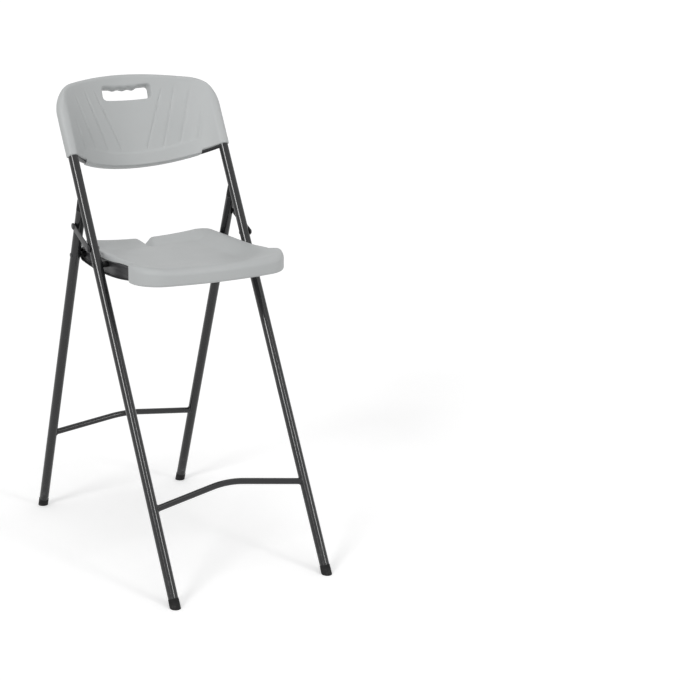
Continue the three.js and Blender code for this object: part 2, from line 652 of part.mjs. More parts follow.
// The seat's skin as upright sections; an inset makes the inner one
function seatSkin(inset) {
  const halfWidth = SEAT_FRONT_HALF_WIDTH - inset;
  const section = (i) => {
    const x = halfWidth * (2 * spaced(i, SEAT_COLUMNS) - 1);
    const full = (x * SEAT_FRONT_HALF_WIDTH) / halfWidth;
    const front = seatFrontEdge(full) + inset;
    const rear = seatRearEdge(full) - inset;
    const squeeze = roundedShare(Math.max(0, 1 - (halfWidth - Math.abs(x)) / SEAT_EDGE_ROUND));
    const low = SEAT_UNDERSIDE + inset;
    const top = [];
    const bottom = [];
    for (let j = 0; j <= SEAT_ROWS; j += 1) {
      const y = front + (rear - front) * spaced(j, SEAT_ROWS);
      const nearEnd = Math.max(0, 1 - Math.min(y - front, rear - y) / SEAT_EDGE_ROUND);
      const edge = SEAT_EDGE_ROUND * (1 - roundedShare(nearEnd));
      const high = seatTop(full, y) - inset;
      const middle = (high + low) / 2;
      top.push(new THREE.Vector3(x, y, middle + (high - edge - middle) * squeeze));
      bottom.unshift(new THREE.Vector3(x, y, middle + (low + edge / 2 - middle) * squeeze));
    }
    return [...top, ...bottom];
  };
  return skin(Array.from({ length: SEAT_COLUMNS + 1 }, (_, i) => section(i)));
}

// Wedge that cuts the V notch in the rear rim
function notchWedge(grow) {
  const top = SEAT_RIM_TOP + OVERRUN;
  const apex = SEAT_RIM_TOP - SEAT_NOTCH_DEPTH - grow;
  const half = ((top - apex) * SEAT_NOTCH_HALF_WIDTH) / SEAT_NOTCH_DEPTH;
  const shape = new THREE.Shape();
  shape.moveTo(0, apex);
  shape.lineTo(half, top);
  shape.lineTo(-half, top);
  const depth = SEAT_NOTCH_LENGTH + OVERRUN + grow;
  const geometry = new THREE.ExtrudeGeometry(shape, { depth, bevelEnabled: false });
  geometry.rotateX(Math.PI / 2);
  return toSolid(geometry.translate(0, SEAT_REAR + OVERRUN, 0));
}

// What is cut away behind the wide front block: the outer flanks, and all below the flanges on the rails
function besideRails(side, shelfFrom, shelfTop, shoulder) {
  const outer = SEAT_FRONT_HALF_WIDTH + OVERRUN;
  const behind = [shoulder, SEAT_REAR + OVERRUN];
  const low = SEAT_UNDERSIDE - OVERRUN;
  const shelf = box(stretchOn(side, shelfFrom, outer), behind, [low, shelfTop]);
  const flank = box(stretchOn(side, SEAT_HALF_WIDTH, outer), behind, [low, SEAT_RIM_TOP + OVERRUN]);
  return shelf.add(flank);
}

function seatShell() {
  const bodyHalf = RAIL_WEB - PIN_HEAD - 3 * GAP;
  const under = SEAT_RIM_TOP - SEAT_FLANGE;
  const over = SEAT_RIM_TOP + OVERRUN;
  const low = SEAT_UNDERSIDE - OVERRUN;
  const outside = SIDES.map((side) => besideRails(side, bodyHalf, under, SEAT_SHOULDER));
  const wall = SEAT_WALL;
  const inside = SIDES.map((side) => besideRails(side, bodyHalf - wall, over, SEAT_SHOULDER - wall));
  const room = cut(seatSkin(wall), ...inside, notchWedge(wall));
  const vent = rod('z', SEAT_VENT_D / 2, low, SEAT_UNDERSIDE + OVERRUN / 2, [0, 0]);
  const holes = seatScrewPlaces().map(
    (at) => rod('z', SCREW_D / 2 + GAP, low, SEAT_UNDERSIDE + SEAT_SCREW_REACH, at));
  return cut(seatSkin(0), ...outside, room, notchWedge(0), vent, ...holes);
}

function seatScrewPlaces() {
  const ofBar = (y) => SIDES.map((side) => [side * SEAT_SCREW_HALF_SPACING, y]);
  return [...ofBar(CROSS_BAR_FRONT), ...ofBar(CROSS_BAR_REAR)];
}

function seatScrew(at) {
  const seat = SEAT_UNDERSIDE - 2 * GAP - CROSS_BAR_STEEL;
  return screw('z', seat, SEAT_UNDERSIDE + SEAT_SCREW_REACH - GAP, at);
}

// Rail outline in the side view, drawn in by inset
function railShape(inset) {
  const radius = RAIL_REAR_ROUND - inset;
  const middle = (RAIL_FRONT + PIVOT_SPAN) / 2;
  const front = RAIL_FRONT + inset;
  const shape = new THREE.Shape();
  shape.moveTo(front, RAIL_BOTTOM + inset);
  shape.quadraticCurveTo(middle, RAIL_BELLY + inset, PIVOT_SPAN, -radius);
  shape.absarc(PIVOT_SPAN, 0, radius, -Math.PI / 2, Math.PI / 2);
  shape.lineTo(front, RAIL_TOP - inset);
  return shape;
}

function seatRail(side) {
  const blank = sidePlate(railShape(0), side, RAIL_WEB, SEAT_HALF_WIDTH);
  const pan = sidePlate(railShape(RAIL_STEEL), side, RAIL_WEB + RAIL_STEEL, SEAT_HALF_WIDTH + OVERRUN);
  const through = stretchOn(side, RAIL_WEB - OVERRUN, SEAT_HALF_WIDTH + OVERRUN);
  const drills = [0, PIVOT_SPAN].map((y) => rod('x', PIN_R + GAP, ...through, [y, 0]));
  return cut(blank, pan, ...drills);
}

function seatCrossBar(y) {
  const reach = RAIL_WEB - GAP;
  const top = SEAT_UNDERSIDE - GAP;
  const width = [y - CROSS_BAR_WIDTH / 2, y + CROSS_BAR_WIDTH / 2];
  const drills = SIDES.map((side) => rod(
    'z', SCREW_D / 2 + GAP, top - OVERRUN, top + OVERRUN, [side * SEAT_SCREW_HALF_SPACING, y]));
  return cut(box([-reach, reach], width, [top - CROSS_BAR_STEEL, top]), ...drills);
}

// The stool, with a frame of its own for what leans with the posts, with the rear legs, and for the seat
const stool = new THREE.Group();
stool.position.y = -ORIGIN_Y;
const postFrame = new THREE.Group();
postFrame.rotation.x = -POST_LEAN;
const legFrame = new THREE.Group();
legFrame.position.y = STANCE;
legFrame.rotation.x = LEG_LEAN;
const seatFrame = new THREE.Group();
seatFrame.position.set(0, ...SEAT_PIVOT.toArray());
stool.add(postFrame, legFrame, seatFrame);

for (const side of SIDES) {
  const word = side < 0 ? 'left' : 'right';
  addPiece(postFrame, `${word}_post`, post(side), steel);
  addPiece(postFrame, `${word}_front_foot_cap`, footCap(side, POST_LEAN, POST_LEAN), black);
  addPiece(legFrame, `${word}_rear_leg`, rearLeg(side), steel);
  addPiece(legFrame, `${word}_rear_foot_cap`, footCap(side, LEG_LEAN, -LEG_LEAN), black);
  addPiece(legFrame, `${word}_leg_top_plug`, legTopPlug(side), black);
  addPiece(stool, `${word}_seat_pivot_rivet`, railRivet(side, SEAT_PIVOT.toArray()), pinSteel);
  addPiece(stool, `${word}_rear_pivot_rivet`, railRivet(side, REAR_PIVOT.toArray()), pinSteel);
  addPiece(stool, `${word}_seat_pivot_bush`, pivotBush(side, SEAT_PIVOT.toArray()), black);
  addPiece(stool, `${word}_rear_pivot_bush`, pivotBush(side, REAR_PIVOT.toArray()), black);
  addPiece(stool, `${word}_link`, linkStrap(side), steel);
  addPiece(stool, `${word}_link_bolt`, linkBolt(side), pinSteel);
  addPiece(stool, `${word}_link_washer`, linkWasher(side), black);
  addPiece(stool, `${word}_link_rivet`, linkRivet(side), pinSteel);
  addPiece(seatFrame, `${word}_seat_rail`, seatRail(side), steel);
  BACK_SCREW_ALONG.forEach((along, i) => {
    addPiece(postFrame, `${word}_backrest_screw_${i + 1}`, backScrew(side, along), zinc);
  });
}

addPiece(postFrame, 'front_stretcher', stretcher(FRONT_STRETCHER_ALONG, FRONT_STRETCHER_RISE), steel);
addPiece(legFrame, 'rear_stretcher', stretcher(REAR_STRETCHER_ALONG, REAR_STRETCHER_RISE), steel);
addPiece(postFrame, 'backrest_crossbar', crossBar(), steel);
addPiece(postFrame, 'backrest_shell', backShell(), plastic);
addPiece(seatFrame, 'seat_shell', seatShell(), plastic);
addPiece(seatFrame, 'front_seat_cross_bar', seatCrossBar(CROSS_BAR_FRONT), steel);
addPiece(seatFrame, 'rear_seat_cross_bar', seatCrossBar(CROSS_BAR_REAR), steel);
seatScrewPlaces().forEach((at, i) => {
  addPiece(seatFrame, `seat_screw_${i + 1}`, seatScrew(at), zinc);
});

export default stool;
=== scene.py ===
"""Folding bar stool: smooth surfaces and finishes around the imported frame. Metres, +Z up, front at -Y."""
import json
import math

import bpy
import numpy as np
from mathutils import Matrix, Vector


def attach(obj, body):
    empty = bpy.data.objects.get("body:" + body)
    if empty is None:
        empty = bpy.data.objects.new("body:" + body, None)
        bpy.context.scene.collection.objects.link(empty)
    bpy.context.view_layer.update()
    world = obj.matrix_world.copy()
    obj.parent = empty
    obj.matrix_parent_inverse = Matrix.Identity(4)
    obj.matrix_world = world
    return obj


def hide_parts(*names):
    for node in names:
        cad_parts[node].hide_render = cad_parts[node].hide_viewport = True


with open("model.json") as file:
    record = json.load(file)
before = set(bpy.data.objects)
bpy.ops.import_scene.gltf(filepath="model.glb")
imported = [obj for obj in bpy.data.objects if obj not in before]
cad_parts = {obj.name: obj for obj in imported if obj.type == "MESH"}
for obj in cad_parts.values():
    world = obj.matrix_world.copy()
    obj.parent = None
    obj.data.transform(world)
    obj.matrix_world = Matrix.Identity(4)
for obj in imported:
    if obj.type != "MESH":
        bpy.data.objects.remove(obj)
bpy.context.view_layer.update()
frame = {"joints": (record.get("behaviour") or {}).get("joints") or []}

# Stance: posts lean back from the front feet, rear legs lean forward, and they cross from the side
STANCE = 0.830
LEG_SPACING = 0.424
POST_LEAN = math.radians(28)
CROSSING_ALONG = 1.0403

# Steel tube of the posts and legs, and the play between neighbouring pieces
TUBE_D = 0.025
TUBE_SIDES = 64
END_ROUND = 0.0008
GAP = 0.0003

# Fold pivots: pins with domed or flush heads, and the bushes between post or leg and rail
SEAT_PIVOT_ALONG = 0.866
LINK_RISE = 0.086
PIN_D = 0.008
PIN_HEAD_D = 0.016
PIN_HEAD = 0.002
FLUSH_HEAD_D = 0.012
FLUSH_HEAD = 0.0003
HEAD_EDGE_SHARE = 0.35
HEAD_CUT_SHARE = 0.25
BUSH_D = 0.015
TURN_SIDES = 48

# Foot caps, with fine grooves near the rim where a cosine rises above the cut
CAP_WALL = 0.0014
CAP_FLOOR = 0.005
CAP_LENGTH = 0.023
CAP_PROUD = 0.0008
CAP_EDGE = 0.001
CAP_EDGE_SHARE = 0.3
CAP_GROOVE = 0.0006
CAP_GROOVE_PITCH = 0.0035
CAP_GROOVED_PITCHES = 3
CAP_GROOVE_CUT = 0.8
CAP_RINGS = 40

# Plugs in the tops of the rear legs
PLUG_CAP = 0.003
PLUG_REST = 0.0007
PLUG_UNDER_SHARE = 0.6
PLUG_CENTRE_SHARE = 0.05
PLUG_RINGS = 12

# Stretchers: straight runs and a rounded crank
STRETCHER_D = 0.016
STRETCHER_SIDES = 40
STRETCHER_BEND = 0.045
STRETCHER_BEND_POINTS = 25
FRONT_STRETCHER_ALONG = 0.241
FRONT_STRETCHER_RISE = 0.037
REAR_STRETCHER_ALONG = 0.2495
REAR_STRETCHER_RISE = 0.031

# Weld beads
WELD_SIZE = 0.0019
WELD_RIPPLE = 0.00025
WELD_RIPPLES = 26
WELD_STEPS = 156
WELD_SIDES = 10

# Backrest shell: outline
BACK_BOTTOM = 1.151
BACK_HEIGHT = 0.2323
BACK_BESIDE_POST = 0.0163
BACK_TOP_RADIUS = 0.477
BACK_CORNER_RADIUS = 0.097
BACK_FOOT_ROUND = 0.004
BACK_LIP_DROP = 0.0076
BACK_LIP_SAG = 0.0006
BACK_LIP_INSET = 0.047
BACK_LIP_STEP_ROUND = 0.004
POST_INSERT = 0.119

# Backrest shell: bow, thickness and edges
BACK_SLOT_BOW = 0.0696
BACK_LOW_BOW = 0.105
BACK_BOW_INSET = 0.009
BACK_THICKNESS = 0.027
BACK_AHEAD = 0.001
BACK_WALL = 0.0026
BACK_SOCKET_BLEND = 0.005
BACK_EDGE_ROUND = 0.013
BACK_FOOT_EDGE = 0.0035
BACK_FOOT_EASE = 0.045
BACK_FOOT_TAPER_SHARE = 0.97

# Hand-hold slot: its wall starts behind the middle of the thickness, under a wide front rounding
SLOT_WIDTH = 0.133
SLOT_HEIGHT = 0.0323
SLOT_UP = -0.0004
SLOT_ACROSS = -0.0024
SLOT_BELOW_TOP = 0.0508
SLOT_UPPER_CORNER = 0.008
SLOT_LOWER_CORNER = 0.009
SLOT_FRONT_ROUND = 0.0055
SLOT_REAR_ROUND = 0.006
SLOT_FRONT_DEPTH_SHARE = -0.07
SLOT_REAR_DEPTH_SHARE = 0.3
SCALLOP_CENTRE = -0.0044
SCALLOP_PITCH = 0.028
SCALLOP_COUNT = 3
SCALLOP_DEPTH = 0.0028
SCALLOP_LEVEL = 0.0025

# Fan of grooves on the backrest: each runs from a low to a high point, both [across, up the post]
GROOVES = [
    [[0.037, 1.188], [0.098, 1.343]],
    [[0.079, 1.186], [0.130, 1.343]],
    [[0.121, 1.187], [0.164, 1.325]],
    [[0.160, 1.182], [0.180, 1.260]],
]
GROOVE_HALF_WIDTH = 0.0035
GROOVE_DEPTH = 0.0022
GROOVE_FADE = 0.030

# Step between the fan's panel and the band below it
PANEL_LINE_ALONG = 1.1855
PANEL_LINE_SAG = 0.010
PANEL_HALF_WIDTH = 0.172
PANEL_STEP = 0.0015
PANEL_STEP_WIDTH = 0.004
PANEL_STEP_REACH = 0.09

# Curved bar across the posts
BAR_D = 0.012
BAR_BELOW_SHELL = 0.0007
BAR_SIDES = 32
BAR_POINTS = 61

# Screws
SCREW_HEAD_D = 0.0095
SCREW_HEAD = 0.0024
SCREW_EDGE_SHARE = 0.25
SCREW_UNDER_SHARE = 0.8
SCREW_CROSS = 0.0052
SCREW_CROSS_WIDTH = 0.0011
SCREW_CROSS_DEPTH = 0.0014
SCREW_RINGS = 22
BACK_SCREWS_UP = [0.027, 0.095]
SEAT_SCREW_HALF_SPACING = 0.095

# Seat in plan, measured from the seat pivot
SEAT_FRONT = -0.2670
SEAT_BEHIND_PIVOT = 0.0457
SEAT_SIDE_GAP = 0.0095
SEAT_SHOULDER_STEP = 0.017
SEAT_SHOULDER_GAP = 0.0015
SEAT_STEP_ROUND = 0.0075
SEAT_FRONT_BOW = 0.028
SEAT_FRONT_CORNER = 0.060
SEAT_REAR_CORNER = 0.028

# Top of the seat: rims, dish, rolled front, raised front corners and sagging rear rim
SEAT_RIM_TOP = 0.0255
SEAT_DISH = 0.022
SEAT_DISH_FRONT = 0.190
SEAT_RIM_WIDTH = 0.072
SEAT_REAR_RIM_WIDTH = 0.062
SEAT_ROLL_DEPTH = 0.022
SEAT_ROLL_DROP = 0.010
SEAT_FRONT_CROWN = 0.003
SEAT_CORNER_RISE = 0.0045
SEAT_CORNER_RISE_AT = -0.045
SEAT_CORNER_RISE_REACH = 0.120
SEAT_REAR_SAG = 0.009
SEAT_REAR_SAG_INSET = 0.040

# V notch in the seat's rear rim
SEAT_NOTCH_HALF_WIDTH = 0.0275
SEAT_NOTCH_DEPTH = 0.029
SEAT_NOTCH_LENGTH = 0.048
SEAT_NOTCH_FADE = 0.048
SEAT_NOTCH_APEX_ROUND = 0.0015
SEAT_NOTCH_SHOULDER = 0.0025

# Edge of the seat and its underside
SEAT_EDGE_ROUND = 0.006
SEAT_FLANGE = 0.005
SEAT_SIDE_DIP = 0.007
SEAT_SIDE_DIP_AT = 0.010
SEAT_SIDE_DIP_REACH = 0.150
SEAT_UNDERSIDE = -0.0136
SEAT_FOOT_ROUND = 0.007
SEAT_VENT_D = 0.006
SEAT_VENT_DEPTH = 0.004

# Rings and columns of the two shells
EDGE_RINGS = 10
BEND_SPREAD = 0.012
BACK_COLUMNS = 600
BACK_UPPER_COLUMNS = 112
BACK_FACE_RINGS = 56
BACK_REAR_RINGS = 34
SEAT_COLUMNS = 660
SEAT_CORE_SHARE = 0.72
SEAT_CORE_EASE = 0.022
SEAT_CORE_RINGS = 44
SEAT_FACE_RINGS = 40
SEAT_UNDER_RINGS = 8

# Seat rails
RAIL_FRONT = -0.163
RAIL_REAR_ROUND = 0.018
RAIL_BOTTOM = -0.0105
RAIL_BELLY = -0.037
RAIL_STEEL = 0.002
RAIL_DEPTH = 0.008
RAIL_BEND = 0.0022
RAIL_LIP_PROUD = 0.0026
RAIL_POINTS = 240

# Flat bars under the seat
CROSS_BAR_WIDTH = 0.025
CROSS_BAR_STEEL = 0.003
CROSS_BAR_CORNER = 0.003
CROSS_BAR_FRONT_INSET = 0.086
CROSS_BAR_REAR_INSET = 0.046

# Links, and the bolts that they turn on
LINK_STEEL = 0.0025
LINK_LOWER_D = 0.0178
LINK_UPPER_D = 0.017
PLATE_EDGE_ROUND = 0.0006
LINK_POINTS = 120
LINK_WASHER = 0.0012
LINK_WASHER_D = 0.018
LINK_BOLT_HEAD_D = 0.0145
LINK_BOLT_HEAD = 0.0027
LINK_NUT_D = 0.0095
LINK_NUT = 0.0008

# Angle in degrees from which an edge shades as sharp
SHARP_ANGLE = 40
FITTING_SHARP_ANGLE = 50
SEAT_SHARP_ANGLE = 55
BACK_SHARP_ANGLE = 60
WELD_SHARP_ANGLE = 80

# Colours of the finishes in linear light; a pair is blended by a pattern
SHELL_GREYS = ((0.435, 0.449, 0.451, 1), (0.463, 0.476, 0.476, 1))
FRAME_GREYS = ((0.010, 0.0103, 0.0112, 1), (0.022, 0.0225, 0.024, 1))
RAIL_GREYS = ((0.03, 0.03, 0.032, 1), (0.06, 0.06, 0.062, 1))
RUBBED_COAT = (0.2, 0.2, 0.2, 1)
PIVOT_GREYS = ((0.035, 0.035, 0.037, 1), (0.09, 0.09, 0.092, 1))
ZINC_GREYS = ((0.42, 0.42, 0.42, 1), (0.6, 0.61, 0.62, 1))
MOULDED_BLACKS = ((0.009, 0.009, 0.0095, 1), (0.06, 0.058, 0.055, 1))

# Camera fitted to the photograph, metres and degrees; lens and sensor width in millimetres
CAMERA_PLACE = (-1.9280, -3.9531, 1.7102)
CAMERA_AZIMUTH = -31.558
CAMERA_ELEVATION = 14.889
CAMERA_ROLL = 0.482
LENS = 93.08
SENSOR_WIDTH = 36.0

# Surroundings: each sun has azimuth and elevation in degrees, power, and width in degrees
FLOOR_HALF_WIDTH = 60.0
FLOOR_COLOUR = (0.93, 0.93, 0.93, 1)
FLOOR_GLOW = 0.25
WORLD_LIGHT = 0.48
SUNS = {
    "key": (-60, 30, 0.95, 17),
    "front": (17, 31, 0.34, 10),
    "overhead": (0, 72, 0.55, 40),
}

# Sizes that follow from those above
CROSSING_BEHIND = CROSSING_ALONG * math.sin(POST_LEAN)
CROSSING_HEIGHT = CROSSING_ALONG * math.cos(POST_LEAN)
LEG_LEAN = math.atan2(STANCE - CROSSING_BEHIND, CROSSING_HEIGHT)
HALF_SPACING = LEG_SPACING / 2
TUBE_R = TUBE_D / 2
OUTSIDE = HALF_SPACING + TUBE_R
INSIDE = HALF_SPACING - TUBE_R
SEAT_HALF_WIDTH = INSIDE - SEAT_SIDE_GAP
SEAT_FRONT_HALF_WIDTH = SEAT_HALF_WIDTH + SEAT_SHOULDER_STEP
SEAT_SHOULDER = RAIL_FRONT - SEAT_SHOULDER_GAP
RAIL_WEB = SEAT_HALF_WIDTH - RAIL_DEPTH
RAIL_TOP = SEAT_RIM_TOP - SEAT_EDGE_ROUND - 2 * GAP
SEAT_BODY_HALF_WIDTH = RAIL_WEB - PIN_HEAD - 3 * GAP
LINK_INSIDE = OUTSIDE + GAP + LINK_WASHER + GAP
LINK_OUTSIDE = LINK_INSIDE + LINK_STEEL
BACK_HALF_WIDTH = HALF_SPACING + BACK_BESIDE_POST
BACK_LIP_HALF_WIDTH = HALF_SPACING - BACK_LIP_INSET
BACK_LIP_BOTTOM = BACK_BOTTOM - BACK_LIP_DROP
BACK_TOP = BACK_BOTTOM + BACK_HEIGHT
BACK_SOCKET_HALF = TUBE_R + GAP + BACK_WALL
SLOT_CENTRE = BACK_TOP - SLOT_BELOW_TOP
BAR_ALONG = BACK_BOTTOM - BAR_BELOW_SHELL
CAP_R = TUBE_R + GAP + CAP_WALL
FOOT_Y = -(STANCE + CAP_R / math.cos(LEG_LEAN) - CAP_R / math.cos(POST_LEAN)) / 2
REAR_FOOT_Y = FOOT_Y + STANCE
SIDES = {"left": -1, "right": 1}

# Pivots in the side view, (y, z)
REAR_PIVOT_ALONG = SEAT_PIVOT_ALONG * math.cos(POST_LEAN) / math.cos(LEG_LEAN)
LINK_PIVOT_ALONG = REAR_PIVOT_ALONG + LINK_RISE


def joint_place(name):
    """A joint's place in the side view, (y, z)."""
    joint = next(j for j in frame["joints"] if j["name"] == name)
    return np.array(joint["pos_m"][1:])


def on_leg(along):
    """A point of the rear leg's axis in the side view."""
    return np.array([REAR_FOOT_Y - along * math.sin(LEG_LEAN), along * math.cos(LEG_LEAN)])


SEAT_PIVOT = joint_place("front_frame_fold")
REAR_PIVOT = joint_place("seat_fold")
LINK_BOTTOM = joint_place("left_link_swing")
LINK_TOP = on_leg(LINK_PIVOT_ALONG)
PIVOT_SPAN = REAR_PIVOT[0] - SEAT_PIVOT[0]
SEAT_REAR = PIVOT_SPAN + SEAT_BEHIND_PIVOT
CROSS_BAR_FRONT = RAIL_FRONT + CROSS_BAR_FRONT_INSET
CROSS_BAR_REAR = PIVOT_SPAN - CROSS_BAR_REAR_INSET


def from_post(points):
    """Across, behind and up the post to the shared frame: turned back by the post's lean about its foot."""
    x, y, along = np.moveaxis(np.asarray(points, float), -1, 0)
    sin, cos = math.sin(POST_LEAN), math.cos(POST_LEAN)
    return np.stack([x, FOOT_Y + y * cos + along * sin, along * cos - y * sin], -1)


def from_leg(points):
    """Across, behind and up the rear leg to the shared frame: turned forward by its lean about its foot."""
    x, y, along = np.moveaxis(np.asarray(points, float), -1, 0)
    sin, cos = math.sin(LEG_LEAN), math.cos(LEG_LEAN)
    return np.stack([x, REAR_FOOT_Y + y * cos - along * sin, along * cos + y * sin], -1)


def from_seat(points):
    """Places measured from the seat pivot to the shared frame."""
    return np.asarray(points, float) + np.array([0, *SEAT_PIVOT])


# Meshes
def smooth_piece(name, points, faces, sharp_angle):
    """A mesh piece from points and faces, turned to face outwards: its signed volume comes out positive."""
    mesh = bpy.data.meshes.new(name)
    mesh.from_pydata(points.tolist(), [], faces)
    mesh.validate()
    corners = np.array([face[:3] for face in faces])
    a, b, c = (points[corners[:, k]] - points.mean(0) for k in range(3))
    if np.einsum("ij,ij->i", a, np.cross(b, c)).sum() < 0:
        mesh.flip_normals()
    mesh.polygons.foreach_set("use_smooth", np.ones(len(mesh.polygons), bool))
    mesh.set_sharp_from_angle(angle=math.radians(sharp_angle))
    mesh.update()
    piece = bpy.data.objects.new(name, mesh)
    bpy.context.scene.collection.objects.link(piece)
    return piece


def ring_faces(rings, around, closed):
    """Quads between neighbouring rings of a grid whose rings close on themselves."""
    first = np.arange(rings if closed else rings - 1)
    i, j = np.meshgrid(first, np.arange(around), indexing="ij")
    here, ahead = i * around, ((i + 1) % rings) * around
    beside = (j + 1) % around
    quads = np.stack([here + j, here + beside, ahead + beside, ahead + j], -1)
    return quads.reshape(-1, 4).tolist()


def skin(name, rings, sharp_angle=SHARP_ANGLE):
    """Closed skin over rings of points; each end is a fan about the mean of its ring."""
    count, around = rings.shape[:2]
    points = np.concatenate([rings.reshape(-1, 3), [rings[0].mean(0)], [rings[-1].mean(0)]])
    last, middle = (count - 1) * around, count * around
    j = np.arange(around)
    beside = (j + 1) % around
    first_fan = np.stack([beside, j, np.full(around, middle)], -1)
    last_fan = np.stack([last + j, last + beside, np.full(around, middle + 1)], -1)
    fans = np.stack([first_fan, last_fan], 1).reshape(-1, 3)
    return smooth_piece(name, points, ring_faces(count, around, False) + fans.tolist(), sharp_angle)


def hoop(name, rings, sharp_angle=SHARP_ANGLE):
    """Closed skin over rings of points whose last ring joins the first."""
    count, around = rings.shape[:2]
    return smooth_piece(name, rings.reshape(-1, 3), ring_faces(count, around, True), sharp_angle)


def circle(sides):
    """Unit circle as cosines and sines of evenly spread turns."""
    turn = 2 * np.pi * np.arange(sides) / sides
    return np.cos(turn), np.sin(turn)


def turned(outline, axis, at, sides=TURN_SIDES):
    """Rings of a turned piece: each [place along the axis, radius] of its outline swept round x or z."""
    cos, sin = circle(sides)
    outline = np.asarray(outline, float)
    along = np.repeat(outline[:, :1], sides, 1)
    one, two = outline[:, 1:] * cos + at[0], outline[:, 1:] * sin + at[1]
    return np.stack([along, one, two] if axis == "x" else [one, two, along], -1)


def tube_rings(path, radius, binormal, sides):
    """Rings round a path in a plane: centre + radius * (cos * normal + sin * binormal).

    The normal is square to the path's run and to the binormal, which is square to the plane.
    """
    cos, sin = circle(sides)
    run = np.gradient(path, axis=0)
    run /= np.linalg.norm(run, axis=1, keepdims=True)
    normal = np.cross(run, binormal)
    arms = normal[:, None] * cos[None, :, None] + np.asarray(binormal, float) * sin[None, :, None]
    return path[:, None] + radius * arms


def rounded_ends(low, high, radius, edge, steps=4):
    """Outline of a rod: [place, radius] from end to end, both edges rounded by a quarter circle.

    A ring beside each rounding keeps the long wall straight in its shading.
    """
    turn = np.linspace(0, np.pi / 2, steps + 1)
    start = np.stack([low + edge * (1 - np.sin(turn)), radius - edge * (1 - np.cos(turn))], -1)[::-1]
    finish = np.stack([high - edge * (1 - np.sin(turn)), radius - edge * (1 - np.cos(turn))], -1)
    held = [[low + 2 * edge, radius], [high - 2 * edge, radius]]
    return np.concatenate([start, held, finish])


# Outlines in a plane
def arc(centre, radius, start, end, steps):
    """Points of an arc, its turns in degrees."""
    turn = np.radians(np.linspace(start, end, steps + 1))
    return np.stack([centre[0] + radius * np.cos(turn), centre[1] + radius * np.sin(turn)], -1)


def spread(points, count, closed=False, bends=0.0):
    """The same outline with its points at even steps of distance plus its turn in radians times bends."""
    if closed:
        points = np.concatenate([points, points[:1]])
    step = np.diff(points, axis=0)
    turn = np.abs(np.diff(np.unwrap(np.arctan2(step[:, 1], step[:, 0]))))
    measure = np.linalg.norm(step, axis=1) + bends * (np.append(turn, 0) + np.append(0, turn)) / 2
    far = np.concatenate([[0], np.cumsum(measure)])
    wanted = np.linspace(0, far[-1], count, endpoint=not closed)
    return np.stack([np.interp(wanted, far, points[:, k]) for k in range(2)], -1)


def inward(outline):
    """Unit vectors square to a closed outline, pointing to its inside."""
    run = np.roll(outline, -1, 0) - np.roll(outline, 1, 0)
    run /= np.linalg.norm(run, axis=1, keepdims=True)
    normal = np.stack([-run[:, 1], run[:, 0]], -1)
    x, y = outline.T
    area = np.sum(x * np.roll(y, -1) - y * np.roll(x, -1))
    return normal if area > 0 else -normal


def finish_piece(piece, body, slot, *nodes):
    """Lets a piece ride on its body, in its slot's finish, in place of the nodes that it stands for."""
    piece.data.materials.append(finishes[slot])
    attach(piece, body)
    if nodes:
        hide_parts(*nodes)
    return piece


# Finishes: node groups shared by the materials
def node_group(name, inputs, outputs):
    """An empty shader group with named sockets, and its input and output nodes."""
    group = bpy.data.node_groups.new(name, "ShaderNodeTree")
    for label, kind, value in inputs:
        socket = group.interface.new_socket(label, in_out="INPUT", socket_type=kind)
        socket.default_value = value
    for label, kind in outputs:
        group.interface.new_socket(label, in_out="OUTPUT", socket_type=kind)
    return group, group.nodes.new("NodeGroupInput"), group.nodes.new("NodeGroupOutput")


def noise(tree, place, scale, detail=2.0, roughness=0.5):
    """A noise texture at the place, its scale a number or a socket."""
    node = tree.nodes.new("ShaderNodeTexNoise")
    node.inputs["Detail"].default_value = detail
    node.inputs["Roughness"].default_value = roughness
    tree.links.new(place, node.inputs["Vector"])
    if isinstance(scale, float):
        node.inputs["Scale"].default_value = scale
    else:
        tree.links.new(scale, node.inputs["Scale"])
    return node.outputs["Fac"]


def maths(tree, operation, *values, clamp=False):
    """A maths node over numbers and sockets."""
    node = tree.nodes.new("ShaderNodeMath")
    node.operation = operation
    node.use_clamp = clamp
    for socket, value in zip(node.inputs, values):
        if isinstance(value, (int, float)):
            socket.default_value = value
        else:
            tree.links.new(value, socket)
    return node.outputs[0]


def blend_colours(tree, share, one, two):
    """A mix of two colours by a share; each is a colour or a socket."""
    node = tree.nodes.new("ShaderNodeMix")
    node.data_type = "RGBA"
    tree.links.new(share, node.inputs["Factor"])
    # The Mix node keeps its two colours in inputs 6 and 7, and the mixed colour in output 2
    first, second, mixed = node.inputs[6], node.inputs[7], node.outputs[2]
    for socket, value in ((first, one), (second, two)):
        if isinstance(value, tuple):
            socket.default_value = value
        else:
            tree.links.new(value, socket)
    return mixed


def ramp(tree, value, low, high):
    """The value stretched so that low becomes 0 and high becomes 1, clamped."""
    node = tree.nodes.new("ShaderNodeMapRange")
    node.inputs["From Min"].default_value = low
    node.inputs["From Max"].default_value = high
    tree.links.new(value, node.inputs["Value"])
    return node.outputs["Result"]


